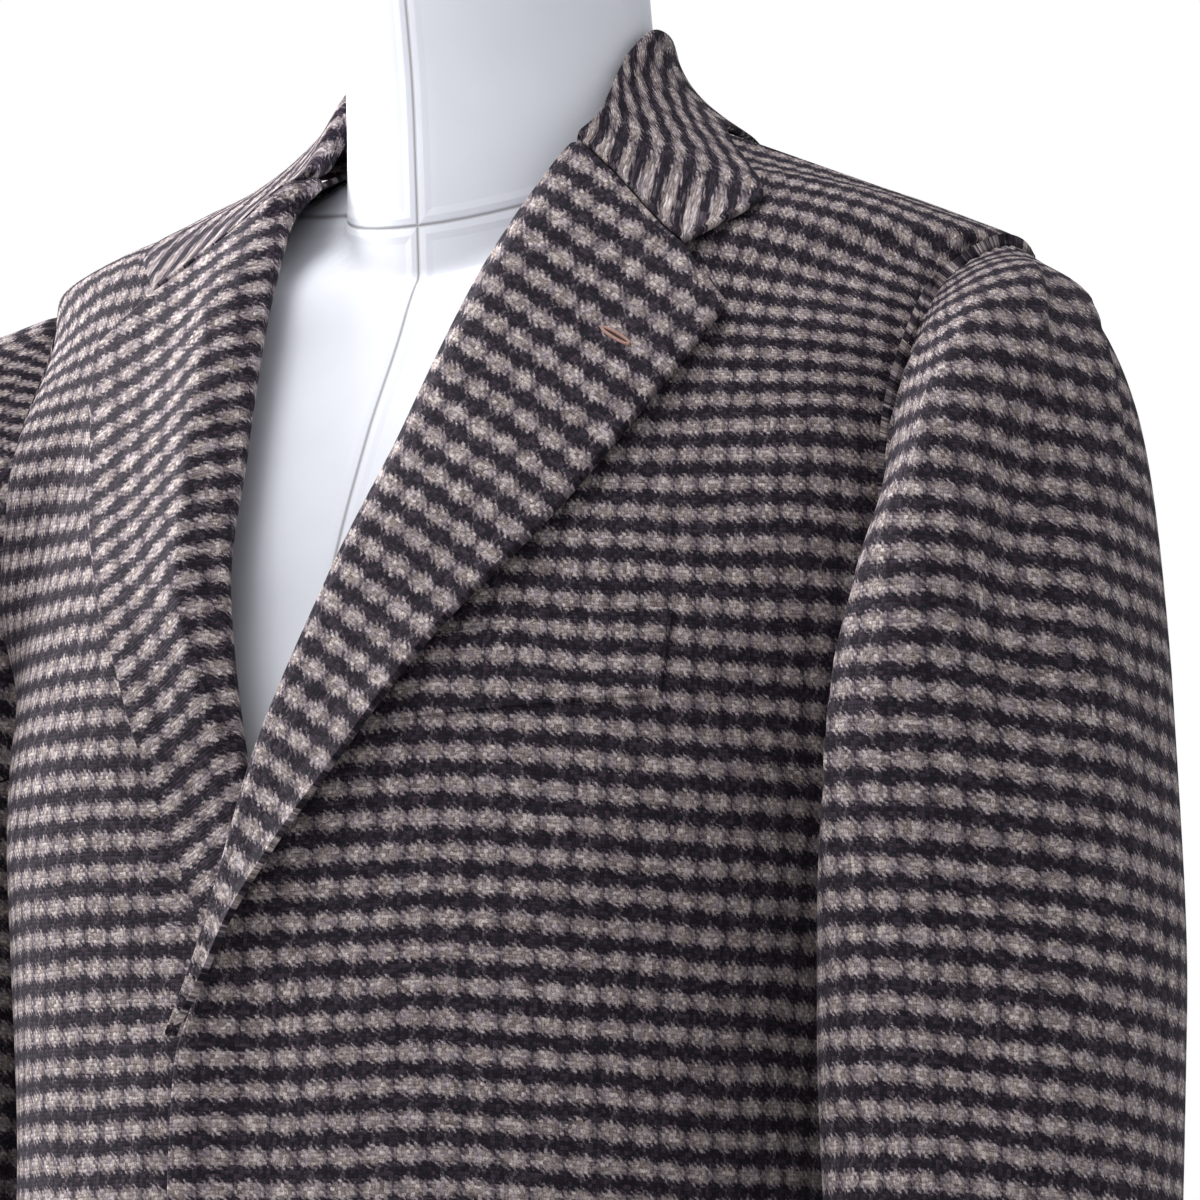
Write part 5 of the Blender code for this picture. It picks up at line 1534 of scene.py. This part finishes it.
def build_stage():
    world = bpy.data.worlds.new("studio")
    world.use_nodes = True
    nodes, links = world.node_tree.nodes, world.node_tree.links
    background = nodes["Background"]
    # The backdrop is seen as white, and lights the coat less than that, with a little blue.
    seen = nodes.new("ShaderNodeLightPath").outputs["Is Camera Ray"]
    tint = nodes.new("ShaderNodeMix")
    tint.data_type = "RGBA"
    tint.inputs[6].default_value = SKY_TINT
    tint.inputs[7].default_value = WHITE
    links.new(seen, tint.inputs[0])
    links.new(tint.outputs[2], background.inputs["Color"])
    strength = nodes.new("ShaderNodeMath")
    strength.operation = "MULTIPLY_ADD"
    strength.inputs[1].default_value = 1.0 - AMBIENT
    strength.inputs[2].default_value = AMBIENT
    links.new(seen, strength.inputs[0])
    links.new(strength.outputs[0], background.inputs["Strength"])
    bpy.context.scene.world = world
    bpy.ops.mesh.primitive_plane_add(size=FLOOR)
    floor = bpy.context.object
    floor.name = "floor"
    g = Graph("pale_floor")
    cloud = g.noise(g.node("TexCoord").outputs["Object"], 3.0, 3.0)
    tones = ((0.3, (0.72, 0.72, 0.72, 1)), (0.7, (0.76, 0.76, 0.76, 1)))
    g.put(g.shader.inputs["Base Color"], g.ramp(cloud, tones))
    floor.data.materials.append(g.finish(Roughness=0.7))
    for lamp in LAMPS:
        area_light(lamp)


# ---- Buttonholes and button details ----
LAPEL_HOLE = (Place(1.413, 0.105), Place(1.404, 0.120))
HOLE_HALF_WIDTH = 0.0011
HOLE_CORD = 0.0006        # radius of its worked edge
HOLE_STAND = 0.0003
FRONT_HOLE = (0.0128, 0.0235)   # how far from the centre a front buttonhole shows, past its button
BUTTON_WELL = 0.0019      # from the button's middle to each of its four holes, each way
BUTTON_HOLE_RADIUS = 0.0009
HOLE_RAISE = 0.0001       # a thread hole's dark disc of painted shade stands this far off the button
HOLE_POINTS = 41
RIM_POINTS = 49
BUTTON_RIM = 0.0100
BUTTON_RIM_CORD = 0.0008
STITCH = 0.00038
STITCH_RISE = 0.0005
SLIT_ENDS = (-0.9, 0.8)   # of the buttonhole's half length
HOLE_TURN = 0.55          # a front buttonhole's worked edge shows this far round, each way from its end
CORD_HELPER = (0.13, 0.31, 0.94)   # a direction that no cord runs in


def cord(name, paths, radius, material, sides=8):
    """One object of round cords, each along a list of points."""
    points, faces = [], []
    turns = np.arange(sides) / sides * 2 * np.pi
    for path in paths:
        path = np.asarray(path, float)
        way = unit(np.gradient(path, axis=0))
        first = unit(np.cross(way, np.array(CORD_HELPER)))
        second = np.cross(way, first)
        start = len(points)
        for middle, a, b in zip(path, first, second):
            points += [middle + radius * (np.cos(t) * a + np.sin(t) * b) for t in turns]
        for ring in range(len(path) - 1):
            low = start + ring * sides
            for k in range(sides):
                after = (k + 1) % sides
                faces.append([low + k, low + after, low + sides + after, low + sides + k])
        last = start + (len(path) - 1) * sides
        faces.append([start + k for k in range(sides)][::-1])
        faces.append([last + k for k in range(sides)])
    item = mesh_object(name, np.array(points), faces, None, material)
    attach(item, "root")


def buttonhole(name, start, end, normal, sweep):
    """A worked edge goes round the buttonhole's opening, as far as it shows, and a dark cord of painted shade
    lies in the opening.
    """
    along = unit(end - start)
    aside = np.cross(normal, along)
    turn = np.linspace(-sweep, sweep, HOLE_POINTS)
    half = np.linalg.norm(end - start) / 2
    middle = (start + end) / 2
    ring = middle + np.outer(half * np.cos(turn), along) + np.outer(HOLE_HALF_WIDTH * np.sin(turn), aside)
    painted_hole_shade = middle + np.outer(np.linspace(*SLIT_ENDS, 7) * half, along)
    cord(name, (ring + normal * HOLE_STAND,), HOLE_CORD, THREAD)
    # The dark cord in the opening is painted shade.
    cord(name + "_slit_shade", (painted_hole_shade,), HOLE_CORD, PAINTED_HOLE_SHADE)


def build_lapel_hole():
    outer = lapel_faces(1, lapel_across())[0]
    normals = grid_normals(outer)
    ends = []
    for place in LAPEL_HOLE:
        off = np.hypot(outer[..., 0] - place.from_centre, outer[..., 2] - place.height)
        row, column = np.unravel_index(off.argmin(), off.shape)
        ends.append(outer[row, column])
    buttonhole("lapel_buttonhole", ends[0], ends[1], normals[row, column], np.pi)


def build_button_details():
    """Each button's rim, the painted shade discs in its holes, its crossed-over thread, and the end of its
    buttonhole.
    """
    for number, height in enumerate(BUTTON_HEIGHTS, 1):
        base = front_point(COAT, 0.0, height)
        normal = outward(COAT, base)
        face = base + normal * (left_lift(base) + LAYER_GAP + BUTTON_THICK)
        weft = unit(np.cross(normal, np.array([0.0, 0.0, 1.0])))
        up = np.cross(weft, normal)
        hole_shades, stitches = [], []
        for aside in (-1, 1):
            low, high = (face + BUTTON_WELL * (aside * weft + tall * up) for tall in (-1, 1))
            # Each thread hole is a dark disc of painted shade.
            hole_shades += [[at, at + normal * HOLE_RAISE] for at in (low, high)]
            stitches.append([low, low + (high - low) / 4 + normal * STITCH_RISE,
                             low + 3 * (high - low) / 4 + normal * STITCH_RISE, high])
        turn = np.linspace(0, 2 * np.pi, RIM_POINTS)[:, None]
        rim = face + BUTTON_RIM * (np.cos(turn) * weft + np.sin(turn) * up)
        cord("button_rim_%d" % number, (rim,), BUTTON_RIM_CORD, HORN)
        cord("button_holes_%d" % number, hole_shades, BUTTON_HOLE_RADIUS, PAINTED_HOLE_SHADE, 14)
        cord("button_thread_%d" % number, stitches, STITCH, THREAD)
        start, end = (front_point(COAT, at, height) for at in FRONT_HOLE)
        buttonhole("buttonhole_%d" % number, start, end, normal, HOLE_TURN * np.pi)


def build_cad_finishes():
    for name, material in (("form_neck_cap", IRON), ("form_pole", STEEL), ("form_base", IRON),
                           ("button_1", HORN), ("button_2", HORN), ("button_3", HORN)):
        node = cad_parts[name]
        node.data.materials.clear()
        node.data.materials.append(material)


bpy.context.scene.view_settings.view_transform = "Standard"
build_stage()
build_camera()
left_face = build_fronts()
build_backs()
build_lapels()
build_collar()
build_sleeve(1)
build_sleeve(-1)
build_welt(*left_face)
build_lapel_hole()
build_button_details()
build_form()
build_cad_finishes()
